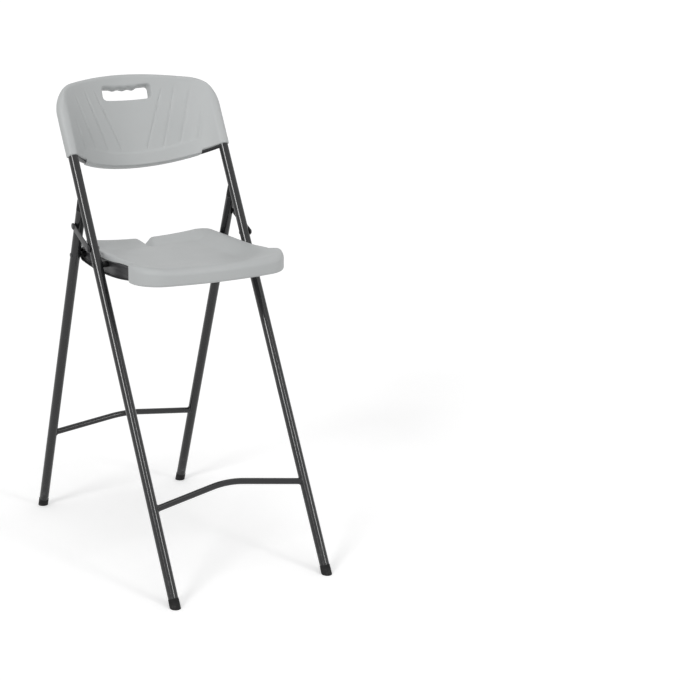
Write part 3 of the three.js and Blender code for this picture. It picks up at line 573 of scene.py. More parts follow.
def moulded_grain_group():
    """Fine pebbles of a textured mould, on slow swells of the wall."""
    group, given, out = node_group(
        "moulded_grain",
        [("Place", "NodeSocketVector", (0, 0, 0)), ("Pebbles", "NodeSocketFloat", 900.0),
         ("Swells", "NodeSocketFloat", 14.0), ("Swell height", "NodeSocketFloat", 3.0)],
        [("Height", "NodeSocketFloat"), ("Swell", "NodeSocketFloat")])
    place = given.outputs["Place"]
    cells = group.nodes.new("ShaderNodeTexVoronoi")
    cells.feature = "SMOOTH_F1"
    cells.inputs["Smoothness"].default_value = 0.6
    group.links.new(place, cells.inputs["Vector"])
    group.links.new(given.outputs["Pebbles"], cells.inputs["Scale"])
    pebbles = maths(group, "SUBTRACT", 1.0, cells.outputs["Distance"])
    swell = noise(group, place, given.outputs["Swells"], detail=1.0)
    high = maths(group, "MULTIPLY", swell, given.outputs["Swell height"])
    group.links.new(maths(group, "ADD", pebbles, high), out.inputs["Height"])
    group.links.new(swell, out.inputs["Swell"])
    return group


def coat_peel_group():
    """Slight orange peel of a powder coat: a coarse and a fine noise added."""
    group, given, out = node_group(
        "coat_peel",
        [("Place", "NodeSocketVector", (0, 0, 0)), ("Peel", "NodeSocketFloat", 420.0),
         ("Speck", "NodeSocketFloat", 2200.0)],
        [("Height", "NodeSocketFloat"), ("Specks", "NodeSocketFloat")])
    place = given.outputs["Place"]
    peel = noise(group, place, given.outputs["Peel"], detail=1.0)
    speck = noise(group, place, given.outputs["Speck"], detail=2.0, roughness=0.6)
    small = maths(group, "MULTIPLY", speck, 0.3)
    group.links.new(maths(group, "ADD", peel, small), out.inputs["Height"])
    group.links.new(ramp(group, speck, low=0.45, high=0.75), out.inputs["Specks"])
    return group


def rubbed_group():
    """Where use has rubbed a surface: patches of noise, stronger below a height above the floor."""
    group, given, out = node_group(
        "rubbed",
        [("Place", "NodeSocketVector", (0, 0, 0)), ("Patches", "NodeSocketFloat", 60.0),
         ("Fade height", "NodeSocketFloat", 0.12), ("Strength", "NodeSocketFloat", 0.5)],
        [("Mask", "NodeSocketFloat")])
    place = given.outputs["Place"]
    split = group.nodes.new("ShaderNodeSeparateXYZ")
    group.links.new(place, split.inputs[0])
    share = maths(group, "DIVIDE", split.outputs["Z"], given.outputs["Fade height"], clamp=True)
    low = maths(group, "SUBTRACT", 1.0, share)
    cloud = noise(group, place, given.outputs["Patches"], detail=5.0, roughness=0.65)
    worn = maths(group, "MULTIPLY", ramp(group, cloud, low=0.5, high=0.7), low)
    group.links.new(maths(group, "MULTIPLY", worn, given.outputs["Strength"]), out.inputs["Mask"])
    return group


GROUPS = {
    "moulded_grain": moulded_grain_group(),
    "coat_peel": coat_peel_group(),
    "rubbed": rubbed_group(),
}


def use_group(tree, name, place, **values):
    """Places a group in a material with its own values."""
    node = tree.nodes.new("ShaderNodeGroup")
    node.node_tree = GROUPS[name]
    tree.links.new(place, node.inputs["Place"])
    for label, value in values.items():
        node.inputs[label.replace("_", " ")].default_value = value
    return node.outputs


def new_material(name, **settings):
    """A material with one Principled shader, and its tree, shader and Object coordinates."""
    material = bpy.data.materials.new(name)
    material.use_nodes = True
    tree = material.node_tree
    shader = tree.nodes["Principled BSDF"]
    for label, value in settings.items():
        shader.inputs[label.replace("_", " ")].default_value = value
    place = tree.nodes.new("ShaderNodeTexCoord").outputs["Object"]
    return material, tree, shader, place


def vary_roughness(tree, shader, mask, spread, least):
    """Gives the shader a roughness of the mask times its spread, plus the least value."""
    tree.links.new(maths(tree, "MULTIPLY_ADD", mask, spread, least), shader.inputs["Roughness"])


def add_bump(tree, shader, height, distance, strength):
    """Gives the shader a bump from a height."""
    bump = tree.nodes.new("ShaderNodeBump")
    bump.inputs["Distance"].default_value = distance
    bump.inputs["Strength"].default_value = strength
    tree.links.new(height, bump.inputs["Height"])
    tree.links.new(bump.outputs["Normal"], shader.inputs["Normal"])


def shell_plastic():
    """Light grey blow-moulded plastic: fine grain, slow swells, faint clouding."""
    material, tree, shader, place = new_material("shell_plastic", Roughness=0.5, IOR=1.5)
    grain = use_group(tree, "moulded_grain", place, Pebbles=950.0, Swells=16.0, Swell_height=2.5)
    cloud = ramp(tree, noise(tree, place, 5.0, detail=3.0), low=0.3, high=0.7)
    colour = blend_colours(tree, cloud, *SHELL_GREYS)
    tree.links.new(colour, shader.inputs["Base Color"])
    vary_roughness(tree, shader, grain["Swell"], spread=0.12, least=0.44)
    add_bump(tree, shader, grain["Height"], distance=0.00012, strength=0.5)
    return material


def coated_steel(name, greys, roughness, gloss):
    """Charcoal powder coat on steel: orange peel, faint flecks, rubbed low down."""
    material, tree, shader, place = new_material(name, IOR=1.5, Specular_IOR_Level=gloss)
    peel = use_group(tree, "coat_peel", place, Peel=430.0, Speck=2300.0)
    rubbed = use_group(tree, "rubbed", place, Patches=70.0, Fade_height=0.1, Strength=0.35)
    flecked = blend_colours(tree, peel["Specks"], *greys)
    worn = blend_colours(tree, rubbed["Mask"], flecked, RUBBED_COAT)
    tree.links.new(worn, shader.inputs["Base Color"])
    unworn = maths(tree, "MULTIPLY_ADD", peel["Specks"], 0.1, roughness)
    vary_roughness(tree, shader, rubbed["Mask"], spread=0.3, least=unworn)
    add_bump(tree, shader, peel["Height"], distance=0.00005, strength=0.35)
    return material


def rivet_steel():
    """Darkened pivot steel: fine specks and dull patches."""
    material, tree, shader, place = new_material("rivet_steel", Metallic=0.8, IOR=1.5)
    patches = noise(tree, place, 240.0, detail=4.0)
    tree.links.new(blend_colours(tree, patches, *PIVOT_GREYS), shader.inputs["Base Color"])
    vary_roughness(tree, shader, patches, spread=0.25, least=0.25)
    add_bump(tree, shader, noise(tree, place, 1500.0), distance=0.00005, strength=0.4)
    return material


def plated_steel():
    """Zinc-plated steel: soft grey with cloudy dull areas."""
    material, tree, shader, place = new_material("plated_steel", Metallic=0.95)
    cloud = noise(tree, place, 320.0, detail=4.0)
    tree.links.new(blend_colours(tree, cloud, *ZINC_GREYS), shader.inputs["Base Color"])
    vary_roughness(tree, shader, cloud, spread=0.25, least=0.22)
    add_bump(tree, shader, noise(tree, place, 1800.0), distance=0.00004, strength=0.4)
    return material


def black_moulding(name, roughness, dust):
    """Black moulded feet, plugs and bushes: fine grain, pale dust near the floor."""
    material, tree, shader, place = new_material(name, IOR=1.48, Specular_IOR_Level=0.25)
    grain = use_group(tree, "moulded_grain", place, Pebbles=1400.0, Swells=90.0, Swell_height=0.8)
    rubbed = use_group(tree, "rubbed", place, Patches=180.0, Fade_height=0.02, Strength=dust)
    colour = blend_colours(tree, rubbed["Mask"], *MOULDED_BLACKS)
    tree.links.new(colour, shader.inputs["Base Color"])
    vary_roughness(tree, shader, grain["Swell"], spread=0.15, least=roughness)
    add_bump(tree, shader, grain["Height"], distance=0.0001, strength=0.5)
    return material


finishes = {
    "shell_plastic": shell_plastic(),
    "frame_paint": coated_steel("frame_paint", FRAME_GREYS, roughness=0.1, gloss=0.48),
    "rail_paint": coated_steel("rail_paint", RAIL_GREYS, roughness=0.3, gloss=0.35),
    "rivet_steel": rivet_steel(),
    "plated_steel": plated_steel(),
    "foot_plastic": black_moulding("foot_plastic", roughness=0.55, dust=0.8),
    "bush_nylon": black_moulding("bush_nylon", roughness=0.4, dust=0.0),
}


# Shares and blends
def ease(t):
    """Smooth step: 3t^2 - 2t^3 of the share clamped to 0 and 1."""
    within = np.clip(t, 0, 1)
    return within * within * (3 - 2 * within)


def soft_max(a, b, blend):
    """Larger of two values, rounded where they meet: (a + b + sqrt((a - b)^2 + blend^2)) / 2."""
    return (a + b + np.sqrt((a - b) ** 2 + blend**2)) / 2


# Backrest shell
def bow(x, along):
    """Circular arc across the width; its depth falls evenly from the shell's foot upwards."""
    lower = (SLOT_CENTRE - along) / (SLOT_CENTRE - BACK_BOTTOM)
    deep = BACK_SLOT_BOW + (BACK_LOW_BOW - BACK_SLOT_BOW) * lower
    half_span = HALF_SPACING - BACK_BOW_INSET
    radius = (half_span**2 + deep**2) / (2 * deep)
    within = np.minimum(np.abs(x), HALF_SPACING)
    return deep - radius + np.sqrt(radius**2 - within**2)


def foot_share(along):
    """1 at the shell's foot, easing to 0 a little way up."""
    return 1 - ease((along - BACK_BOTTOM) / BACK_FOOT_EASE)


def back_skins(x, along):
    """Places of the front and rear skins, drawn together at the sides near the foot by a quarter ellipse."""
    face = bow(x, along) - BACK_AHEAD
    front = soft_max(face - BACK_THICKNESS / 2, -BACK_SOCKET_HALF, BACK_SOCKET_BLEND)
    rear = soft_max(face + BACK_THICKNESS / 2, BACK_SOCKET_HALF, BACK_SOCKET_BLEND)
    over = np.clip((np.abs(x) - BACK_HALF_WIDTH) / BACK_EDGE_ROUND + 1, 0, BACK_FOOT_TAPER_SHARE)
    taper = 1 - foot_share(along) * (1 - np.sqrt(1 - over**2))
    middle = (front + rear) / 2
    return middle + (front - middle) * taper, middle + (rear - middle) * taper


def groove_depth(x, along):
    """Depth of the fan of grooves: a rounded valley about each line, fading out at its upper end."""
    far = np.abs(x)
    depth = np.zeros_like(x)
    for low, high in np.array(GROOVES):
        run = high - low
        length = np.linalg.norm(run)
        share = ((far - low[0]) * run[0] + (along - low[1]) * run[1]) / (run @ run)
        beside = np.abs((far - low[0]) * run[1] - (along - low[1]) * run[0]) / length
        valley = 1 - ease(beside / GROOVE_HALF_WIDTH)
        fade = ease((1 - share) * length / GROOVE_FADE) * ease(1 + share * length / GROOVE_HALF_WIDTH)
        depth = np.maximum(depth, GROOVE_DEPTH * valley * fade)
    return depth


def panel_depth(x, along):
    """The fan's panel lies back from the band below it: a rounded step along a sagging line."""
    line = PANEL_LINE_ALONG - PANEL_LINE_SAG * (1 - (x / PANEL_HALF_WIDTH) ** 2)
    above = ease((along - line) / PANEL_STEP_WIDTH)
    fade = ease((PANEL_HALF_WIDTH - np.abs(x)) / GROOVE_FADE)
    reach = 1 - ease((along - line) / PANEL_STEP_REACH)
    return PANEL_STEP * above * fade * reach


def back_half_outline():
    """Right half of the shell's outline from its top to its foot: wide arc, corner arc, side, foot, lip."""
    inner = BACK_TOP_RADIUS - BACK_CORNER_RADIUS
    corner_x = BACK_HALF_WIDTH - BACK_CORNER_RADIUS
    centre = BACK_TOP - BACK_TOP_RADIUS
    meet = math.degrees(math.asin(corner_x / inner))
    corner = (corner_x, centre + math.sqrt(inner**2 - corner_x**2))
    side_foot = (BACK_HALF_WIDTH - BACK_FOOT_ROUND, BACK_BOTTOM + BACK_FOOT_ROUND)
    lip_x = BACK_LIP_HALF_WIDTH
    lip_end = BACK_LIP_BOTTOM + BACK_LIP_SAG
    step = BACK_LIP_STEP_ROUND
    lip = np.linspace(lip_x - step, 0, 60)
    sag = BACK_LIP_BOTTOM + BACK_LIP_SAG * (lip / lip_x) ** 2
    return np.concatenate([
        arc((0, centre), BACK_TOP_RADIUS, 90, 90 - meet, steps=40),
        arc(corner, BACK_CORNER_RADIUS, 90 - meet, 0, steps=40)[1:],
        arc(side_foot, BACK_FOOT_ROUND, 0, -90, steps=10),
        arc((lip_x + step / 2, BACK_BOTTOM - step / 2), step / 2, 90, 180, steps=8),
        arc((lip_x - step, lip_end + step), step, 0, -90, steps=10)[:-1],
        np.stack([lip, sag], -1),
    ])


def slot_half_outline():
    """Right half of the slot's outline from its top to its foot, before the scallops."""
    half, upper, lower = SLOT_WIDTH / 2, SLOT_UPPER_CORNER, SLOT_LOWER_CORNER
    middle = SLOT_CENTRE + SLOT_UP
    low, high = middle - SLOT_HEIGHT / 2, middle + SLOT_HEIGHT / 2
    return np.concatenate([
        [[0, high]],
        arc((half - upper, high - upper), upper, 90, 0, steps=12),
        arc((half - lower, low + lower), lower, 0, -90, steps=12),
        [[0, low]],
    ])


def scallops(x):
    """Drop of the slot's upper edge: cosine waves on a level that eases away to one side."""
    from_middle = x - SCALLOP_CENTRE
    wave = (1 + np.cos(2 * np.pi * from_middle / SCALLOP_PITCH)) / 2
    within = np.abs(from_middle) < SCALLOP_COUNT * SCALLOP_PITCH / 2
    past_last = from_middle - (SCALLOP_COUNT - 1) * SCALLOP_PITCH / 2
    return SCALLOP_DEPTH * wave * within + SCALLOP_LEVEL * (1 - ease(past_last / SCALLOP_PITCH * 2))


def whole_outline(half, level, upper, lower):
    """Both halves as one loop: upper points down to the widest place at the level, then lower points."""
    level_at = np.argmin(np.abs(half[:, 1] - level) - half[:, 0])
    top = spread(half[: level_at + 1], upper + 1, bends=BEND_SPREAD)[:-1]
    foot = spread(half[level_at:], lower + 1, bends=BEND_SPREAD)
    right = np.concatenate([top, foot])
    left = right[-2:0:-1] * [-1, 1]
    return np.concatenate([right, left])


def back_side(wall, slot_out, edge_in, edge, wall_share, face_rings):
    """Plan rings and depth shares of one side of the shell, from the slot's wall to the outer edge.

    Depth share 0 is the middle of the thickness and 1 the face. Both roundings are quarter ellipses, and the
    face rings lie at even shares of the way between them.
    """
    turn = np.linspace(0, np.pi / 2, EDGE_RINGS + 1)
    share = np.linspace(0, 1, face_rings + 1)[1:-1]
    plan = [wall + (slot_out - wall) * (1 - math.cos(t)) for t in turn]
    plan += [slot_out + (edge_in - slot_out) * s for s in share]
    plan += [edge_in + (edge - edge_in) * math.sin(t) for t in turn]
    into_slot = wall_share + (1 - wall_share) * np.sin(turn)
    depth = np.concatenate([into_slot, np.ones(len(share)), np.cos(turn)])
    return np.array(plan), depth[:, None]


def back_rings():
    """Rings of the backrest: front from the slot's wall to the outer edge, then rear back to the wall."""
    columns = (BACK_UPPER_COLUMNS, BACK_COLUMNS // 2 - BACK_UPPER_COLUMNS)
    edge = whole_outline(back_half_outline(), SLOT_CENTRE, *columns)
    slot = whole_outline(slot_half_outline(), SLOT_CENTRE, *columns) + [SLOT_ACROSS, 0]
    edge_round = BACK_EDGE_ROUND + (BACK_FOOT_EDGE - BACK_EDGE_ROUND) * foot_share(edge[:, 1:])
    edge_in = edge + edge_round * inward(edge)
    beyond = -inward(slot)
    # The scallops ease in over the upper quarter of the slot's height
    upper_quarter = ease((slot[:, 1] - SLOT_CENTRE) / (SLOT_HEIGHT / 2) * 2 - 1)
    wall = slot - np.column_stack([np.zeros(len(slot)), upper_quarter * scallops(slot[:, 0])])

    sides = []
    for rounding, wall_share, face_rings in (
            (SLOT_FRONT_ROUND, SLOT_FRONT_DEPTH_SHARE, BACK_FACE_RINGS),
            (SLOT_REAR_ROUND, SLOT_REAR_DEPTH_SHARE, BACK_REAR_RINGS)):
        plan, depth = back_side(wall, slot + rounding * beyond, edge_in, edge, wall_share, face_rings)
        x, along = plan[..., 0], plan[..., 1]
        near, far = back_skins(x, along)
        middle = (near + far) / 2
        if sides:
            place = middle + (far - middle) * depth
        else:
            relief = (groove_depth(x, along) + panel_depth(x, along)) * np.maximum(depth, 0)
            place = middle + (near - middle) * depth + relief
        sides.append(np.stack([x, place, along], -1))
    front, rear = sides
    return from_post(np.concatenate([front, rear[-2::-1]]))


def backrest():
    """The backrest: one closed skin that runs round through the slot."""
    shell = hoop("backrest", back_rings(), BACK_SHARP_ANGLE)
    return finish_piece(shell, "front_frame", "shell_plastic", "backrest_shell")


# Seat shell, all places measured from the seat pivot
def seat_front_edge(x):
    """Shallow parabola across the front; a quarter circle turns each end to the side."""
    corner = np.maximum(0, np.abs(x) - (SEAT_FRONT_HALF_WIDTH - SEAT_FRONT_CORNER))
    arc_back = SEAT_FRONT_CORNER - np.sqrt(np.maximum(0, SEAT_FRONT_CORNER**2 - corner**2))
    return SEAT_FRONT + SEAT_FRONT_BOW * (x / SEAT_FRONT_HALF_WIDTH) ** 2 + arc_back


def side_dip(y):
    """How much deeper the rim hangs beside the seat: one wave of a cosine along the side."""
    share = np.clip((y - SEAT_SIDE_DIP_AT) / SEAT_SIDE_DIP_REACH, -1, 1)
    return SEAT_SIDE_DIP * (1 + np.cos(np.pi * share)) / 2


def seat_top(x, y):
    """Height of the top: side and rear rims round a dish, a rolled front, raised corners and a rear V notch.

    Each form is a smooth step or a parabola of the distance from its edge. The notch is a height of its own,
    and the top is the lower of the two, rounded where they meet.
    """
    from_front = y - seat_front_edge(x)
    across = ease((SEAT_HALF_WIDTH - np.abs(x)) / SEAT_RIM_WIDTH)
    behind = ease((SEAT_REAR - y) / SEAT_REAR_RIM_WIDTH)
    ahead = ease(from_front / SEAT_DISH_FRONT)
    dish = SEAT_DISH * across * behind * ahead
    near_front = np.clip(1 - from_front / SEAT_ROLL_DEPTH, 0, 1)
    rolled = SEAT_ROLL_DROP * near_front**2
    sag_half_width = SEAT_HALF_WIDTH - SEAT_REAR_SAG_INSET
    sag = SEAT_REAR_SAG * np.maximum(0, 1 - (x / sag_half_width) ** 2) * (1 - behind)
    raised = SEAT_CORNER_RISE * (1 - across) * ease((SEAT_CORNER_RISE_AT - y) / SEAT_CORNER_RISE_REACH)
    top = SEAT_RIM_TOP + SEAT_FRONT_CROWN * (1 - ahead) + raised - dish - rolled - sag
    slope = SEAT_NOTCH_DEPTH / SEAT_NOTCH_HALF_WIDTH
    flanks = np.sqrt((slope * x) ** 2 + SEAT_NOTCH_APEX_ROUND**2) - SEAT_NOTCH_APEX_ROUND
    notch = SEAT_RIM_TOP - SEAT_NOTCH_DEPTH + flanks
    notch = notch + 2 * SEAT_NOTCH_DEPTH * ease((SEAT_REAR - SEAT_NOTCH_LENGTH - y) / SEAT_NOTCH_FADE)
    return -soft_max(-top, -notch, SEAT_NOTCH_SHOULDER)


def seat_half_outline():
    """Right half of the seat in plan: front, corner, side, step behind the wide front, side, rear corner."""
    front_x = SEAT_FRONT_HALF_WIDTH - SEAT_FRONT_CORNER
    across = np.linspace(0, front_x, 60)
    corner_x = front_x + SEAT_FRONT_CORNER * np.sin(np.linspace(0, np.pi / 2, 40)[1:])
    x = np.concatenate([across, corner_x])
    step, rear = SEAT_STEP_ROUND, SEAT_REAR_CORNER
    outer = (SEAT_FRONT_HALF_WIDTH - step, SEAT_SHOULDER - step)
    inner = (SEAT_HALF_WIDTH + step, SEAT_SHOULDER + step)
    return np.concatenate([
        np.stack([x, seat_front_edge(x)], -1),
        arc(outer, step, 0, 90, steps=10),
        arc(inner, step, 270, 180, steps=10),
        arc((SEAT_HALF_WIDTH - rear, SEAT_REAR - rear), rear, 0, 90, steps=20),
        [[0, SEAT_REAR]],
    ])


def eased_outline(outline, reach):
    """The outline with its steps smoothed away: a Gaussian average of its points along its run."""
    spacing = np.linalg.norm(outline[1] - outline[0])
    count = len(outline)
    offset = np.minimum(np.arange(count), count - np.arange(count)) * spacing
    weight = np.exp(-0.5 * (offset / reach) ** 2)
    spectrum = np.fft.fft(weight / weight.sum())[:, None]
    return np.real(np.fft.ifft(np.fft.fft(outline, axis=0) * spectrum, axis=0))


def seat_rings():
    """Rings of the seat from the middle of its top to the vent in its underside.

    A top ring lies a share of the way from the middle to an eased core, then from the core to the edge. The
    edge is a quarter circle down to a wall, which steps in under the flange and ends in another one.
    """
    half = spread(seat_half_outline(), SEAT_COLUMNS // 2 + 1, bends=BEND_SPREAD)
    edge = np.concatenate([half, half[-2:0:-1] * [-1, 1]])
    edge_in = edge + SEAT_EDGE_ROUND * inward(edge)
    core = SEAT_CORE_SHARE * eased_outline(edge, SEAT_CORE_EASE)
    beside_rail = edge[:, 1] > SEAT_SHOULDER + GAP
    body = edge.copy()
    body[beside_rail, 0] = np.clip(edge[beside_rail, 0], -SEAT_BODY_HALF_WIDTH, SEAT_BODY_HALF_WIDTH)
    body_in = body + SEAT_FOOT_ROUND * inward(edge)
    turn = np.linspace(0, np.pi / 2, EDGE_RINGS // 2 + 1)
    rings = []

    def add(plan, height):
        rings.append(np.column_stack([plan, np.broadcast_to(height, len(plan))]))

    for share in np.linspace(0, 1, SEAT_CORE_RINGS + 1)[1:]:
        add(core * share, seat_top(*(core * share).T))
    for share in np.linspace(0, 1, SEAT_FACE_RINGS + 1)[1:-1]:
        plan = core + (edge_in - core) * share
        add(plan, seat_top(*plan.T))
    for t in turn:
        plan = edge_in + (edge - edge_in) * math.sin(t)
        add(plan, seat_top(*plan.T) - SEAT_EDGE_ROUND * (1 - math.cos(t)))
    wall_top = rings[-1][:, 2]
    flange = np.minimum(SEAT_RIM_TOP - SEAT_FLANGE, wall_top - GAP) - side_dip(edge[:, 1])
    add(edge, flange)
    add(body, flange)
    for t in turn:
        plan = body + (body_in - body) * (1 - math.cos(t))
        add(plan, SEAT_UNDERSIDE + SEAT_FOOT_ROUND * (1 - math.sin(t)))
    under = SEAT_CORE_SHARE * eased_outline(body, SEAT_CORE_EASE)
    vent = SEAT_VENT_D / 2 * under / np.linalg.norm(under, axis=1, keepdims=True)
    for share in np.linspace(0, 1, SEAT_UNDER_RINGS + 1)[1:]:
        add(body_in + (under - body_in) * share, SEAT_UNDERSIDE)
    for share in np.linspace(0, 1, SEAT_UNDER_RINGS + 1)[1:]:
        add(under + (vent - under) * share, SEAT_UNDERSIDE)
    add(vent, SEAT_UNDERSIDE + SEAT_VENT_DEPTH)
    return from_seat(np.array(rings))


def seat():
    """The seat: one closed skin from the middle of its top to the vent underneath."""
    shell = skin("seat", seat_rings(), SEAT_SHARP_ANGLE)
    return finish_piece(shell, "seat", "shell_plastic", "seat_shell")


# Frame tubes
def tube_end(lean):
    """How far up its axis a leaning tube begins, so that its lowest edge stands on the cap's floor."""
    return (CAP_FLOOR + TUBE_R * math.sin(lean)) / math.cos(lean)


def straight_tube(name, side, low, high, place, body):
    """A leaning tube as a turned rod with rounded edges, its hollow closed by the pieces in its ends."""
    outline = rounded_ends(low, high, TUBE_R, END_ROUND)
    rings = turned(outline, "z", (SIDES[side] * HALF_SPACING, 0), TUBE_SIDES)
    return finish_piece(skin(name, place(rings)), body, "frame_paint", name)


def leg_top_along():
    """Where the front corner of a rear leg's plug meets the back of the post."""
    crossing = POST_LEAN + LEG_LEAN
    behind = TUBE_R + PLUG_REST + TUBE_R * math.cos(crossing)
    return (STANCE * math.cos(POST_LEAN) - behind) / math.sin(crossing)


LEG_TOP = leg_top_along()


def level_ring(radius, height):
    """Ring about a tube's axis; its height is one number or one for each line of the tube."""
    cos, sin = circle(TUBE_SIDES)
    return np.stack([radius * cos, radius * sin, np.broadcast_to(height, TUBE_SIDES)], -1)


def plug(side):
    """Plug in a leg's top: a rod hollowed along the post, each line of it cut where it meets the post."""
    crossing = POST_LEAN + LEG_LEAN
    cos, sin = circle(TUBE_SIDES)
    base = LEG_TOP - PLUG_CAP
    rings = [level_ring(TUBE_R * PLUG_UNDER_SHARE, base), level_ring(TUBE_R, base)]
    rings.append(level_ring(TUBE_R, base + END_ROUND))
    for share in np.linspace(1, PLUG_CENTRE_SHARE, PLUG_RINGS):
        radius = TUBE_R * share
        rest = np.sqrt((TUBE_R + PLUG_REST) ** 2 - (radius * cos) ** 2)
        behind = radius * sin * math.cos(crossing)
        top = (STANCE * math.cos(POST_LEAN) + behind - rest) / math.sin(crossing)
        rings.append(level_ring(radius, top))
    rings = np.array(rings) + [SIDES[side] * HALF_SPACING, 0, 0]
    name = f"{side}_leg_top_plug"
    return finish_piece(skin(name, from_leg(rings)), "rear_frame", "foot_plastic", name)


def foot_cap(side, end, lean, place, body):
    """Foot cap: a turned cup round the tube's end, grooved near its rim, each line cut off at the floor."""
    sin = circle(TUBE_SIDES)[1]
    slope = math.tan(lean) * (1 if end == "front" else -1)
    cap_r = TUBE_R + CAP_PROUD
    low = cap_r * math.tan(lean) + CAP_EDGE
    heights = np.linspace(CAP_LENGTH - CAP_EDGE, low, CAP_RINGS)
    groove = CAP_GROOVE * (np.cos(2 * np.pi * (CAP_LENGTH - heights) / CAP_GROOVE_PITCH) > CAP_GROOVE_CUT)
    groove[heights < CAP_LENGTH - CAP_GROOVED_PITCHES * CAP_GROOVE_PITCH] = 0
    rings = [level_ring(radius, CAP_LENGTH) for radius in (TUBE_R - END_ROUND, TUBE_R, cap_r - CAP_GROOVE)]
    rings += [level_ring(cap_r - depth, height) for height, depth in zip(heights, groove)]
    cut = CAP_EDGE_SHARE * CAP_EDGE
    for radius, above in ((cap_r, CAP_EDGE), (cap_r - cut, cut), (cap_r - CAP_EDGE, 0)):
        rings.append(level_ring(radius, radius * sin * slope + above))
    rings = np.array(rings) + [SIDES[side] * HALF_SPACING, 0, 0]
    name = f"{side}_{end}_foot_cap"
    return finish_piece(skin(name, place(rings)), body, "foot_plastic", name)


def stretcher_path(along, rise):
    """Straight runs that rise to the middle, joined there by a quadratic curve."""
    end = HALF_SPACING - TUBE_R / 2
    slope = rise / HALF_SPACING
    middle = np.linspace(-STRETCHER_BEND, STRETCHER_BEND, STRETCHER_BEND_POINTS)
    sag = (STRETCHER_BEND**2 + middle**2) / (2 * STRETCHER_BEND)
    x = np.concatenate([[-end], middle, [end]])
    height = np.concatenate([[end], sag, [end]])
    return np.stack([x, np.zeros_like(x), along + rise - height * slope], -1)


def weld(name, side, height, radius, tilt, place, body):
    """Weld bead where a bar meets a tube: a rippled ring along the curve in which two cylinders cross."""
    turn = np.linspace(0, 2 * np.pi, WELD_STEPS, endpoint=False)
    y, up = radius * np.cos(turn), radius * np.sin(turn)
    x = HALF_SPACING - np.sqrt(TUBE_R**2 - y**2)
    centre = np.stack([x, y, height + up + (HALF_SPACING - x) * tilt], -1)
    out = np.stack([-np.ones_like(turn), np.cos(turn), np.sin(turn)], -1)
    run = np.roll(centre, -1, 0) - np.roll(centre, 1, 0)
    run /= np.linalg.norm(run, axis=1, keepdims=True)
    out -= run * np.sum(out * run, 1, keepdims=True)
    out /= np.linalg.norm(out, axis=1, keepdims=True)
    third = np.cross(run, out)
    size = WELD_SIZE + WELD_RIPPLE * np.abs(np.sin(WELD_RIPPLES * turn / 2))
    cos, sin = circle(WELD_SIDES)
    arms = out[:, None] * cos[None, :, None] + third[:, None] * sin[None, :, None]
    rings = centre[:, None] + arms * size[:, None, None]
    rings[..., 0] *= SIDES[side]
    return finish_piece(hoop(name, place(rings), WELD_SHARP_ANGLE), body, "frame_paint")


def stretcher(end, along, rise, place, body):
    """Stretcher: a round tube along its path, welded to the tube at each end."""
    name = f"{end}_stretcher"
    rings = tube_rings(stretcher_path(along, rise), STRETCHER_D / 2, (0, 1, 0), STRETCHER_SIDES)
    finish_piece(skin(name, place(rings)), body, "frame_paint", name)
    slope = rise / HALF_SPACING
    for side in SIDES:
        weld(f"{side}_{end}_stretcher_weld", side, along, STRETCHER_D / 2, slope, place, body)


def crossbar():
    """Bar across the posts: a round rod along the shell's bow at one height, its ends inside the posts."""
    reach = HALF_SPACING - TUBE_R / 2
    x = np.linspace(-reach, reach, BAR_POINTS)
    path = np.stack([x, bow(x, BAR_ALONG), np.full_like(x, BAR_ALONG)], -1)
    rings = tube_rings(path, BAR_D / 2, (0, 0, 1), BAR_SIDES)
    piece = skin("backrest_crossbar", from_post(rings))
    return finish_piece(piece, "front_frame", "frame_paint", "backrest_crossbar")


# Seat rails, links and flat bars
def plate_rings(outline, profile, side):
    """Rings of a flat piece: its outline drawn in by each inset of the profile, that far along x."""
    normal = inward(outline)
    rings = []
    for inset, far in profile:
        rings.append(np.column_stack([np.full(len(outline), side * far), outline + inset * normal]))
    return np.array(rings)


def edge_profile(near, far, edge, steps=4):
    """Profile of a plate from its near to its far face, both edges rounded by a quarter circle."""
    turn = np.linspace(0, np.pi / 2, steps + 1)
    start = [(edge * (1 - math.sin(t)), near + edge * (1 - math.cos(t))) for t in turn]
    return start + [(inset, far + near - x) for inset, x in reversed(start)]


def rail_outline():
    """Side view of a rail: dipped top, rounded rear end, belly as a quadratic curve, upright front."""
    radius = RAIL_REAR_ROUND
    t = np.linspace(0, 1, 60)[:, None]
    start = np.array([RAIL_FRONT, RAIL_BOTTOM])
    pull = np.array([(RAIL_FRONT + PIVOT_SPAN) / 2, RAIL_BELLY])
    finish = np.array([PIVOT_SPAN, -radius])
    belly = (1 - t) ** 2 * start + 2 * t * (1 - t) * pull + t**2 * finish
    rear = arc((PIVOT_SPAN, 0), radius, -90, 90, steps=24)[1:]
    top = np.linspace([PIVOT_SPAN, radius], [RAIL_FRONT, RAIL_TOP], 40)[1:]
    top[:, 1] -= side_dip(top[:, 0])
    return spread(np.concatenate([belly, rear, top]), RAIL_POINTS, closed=True)


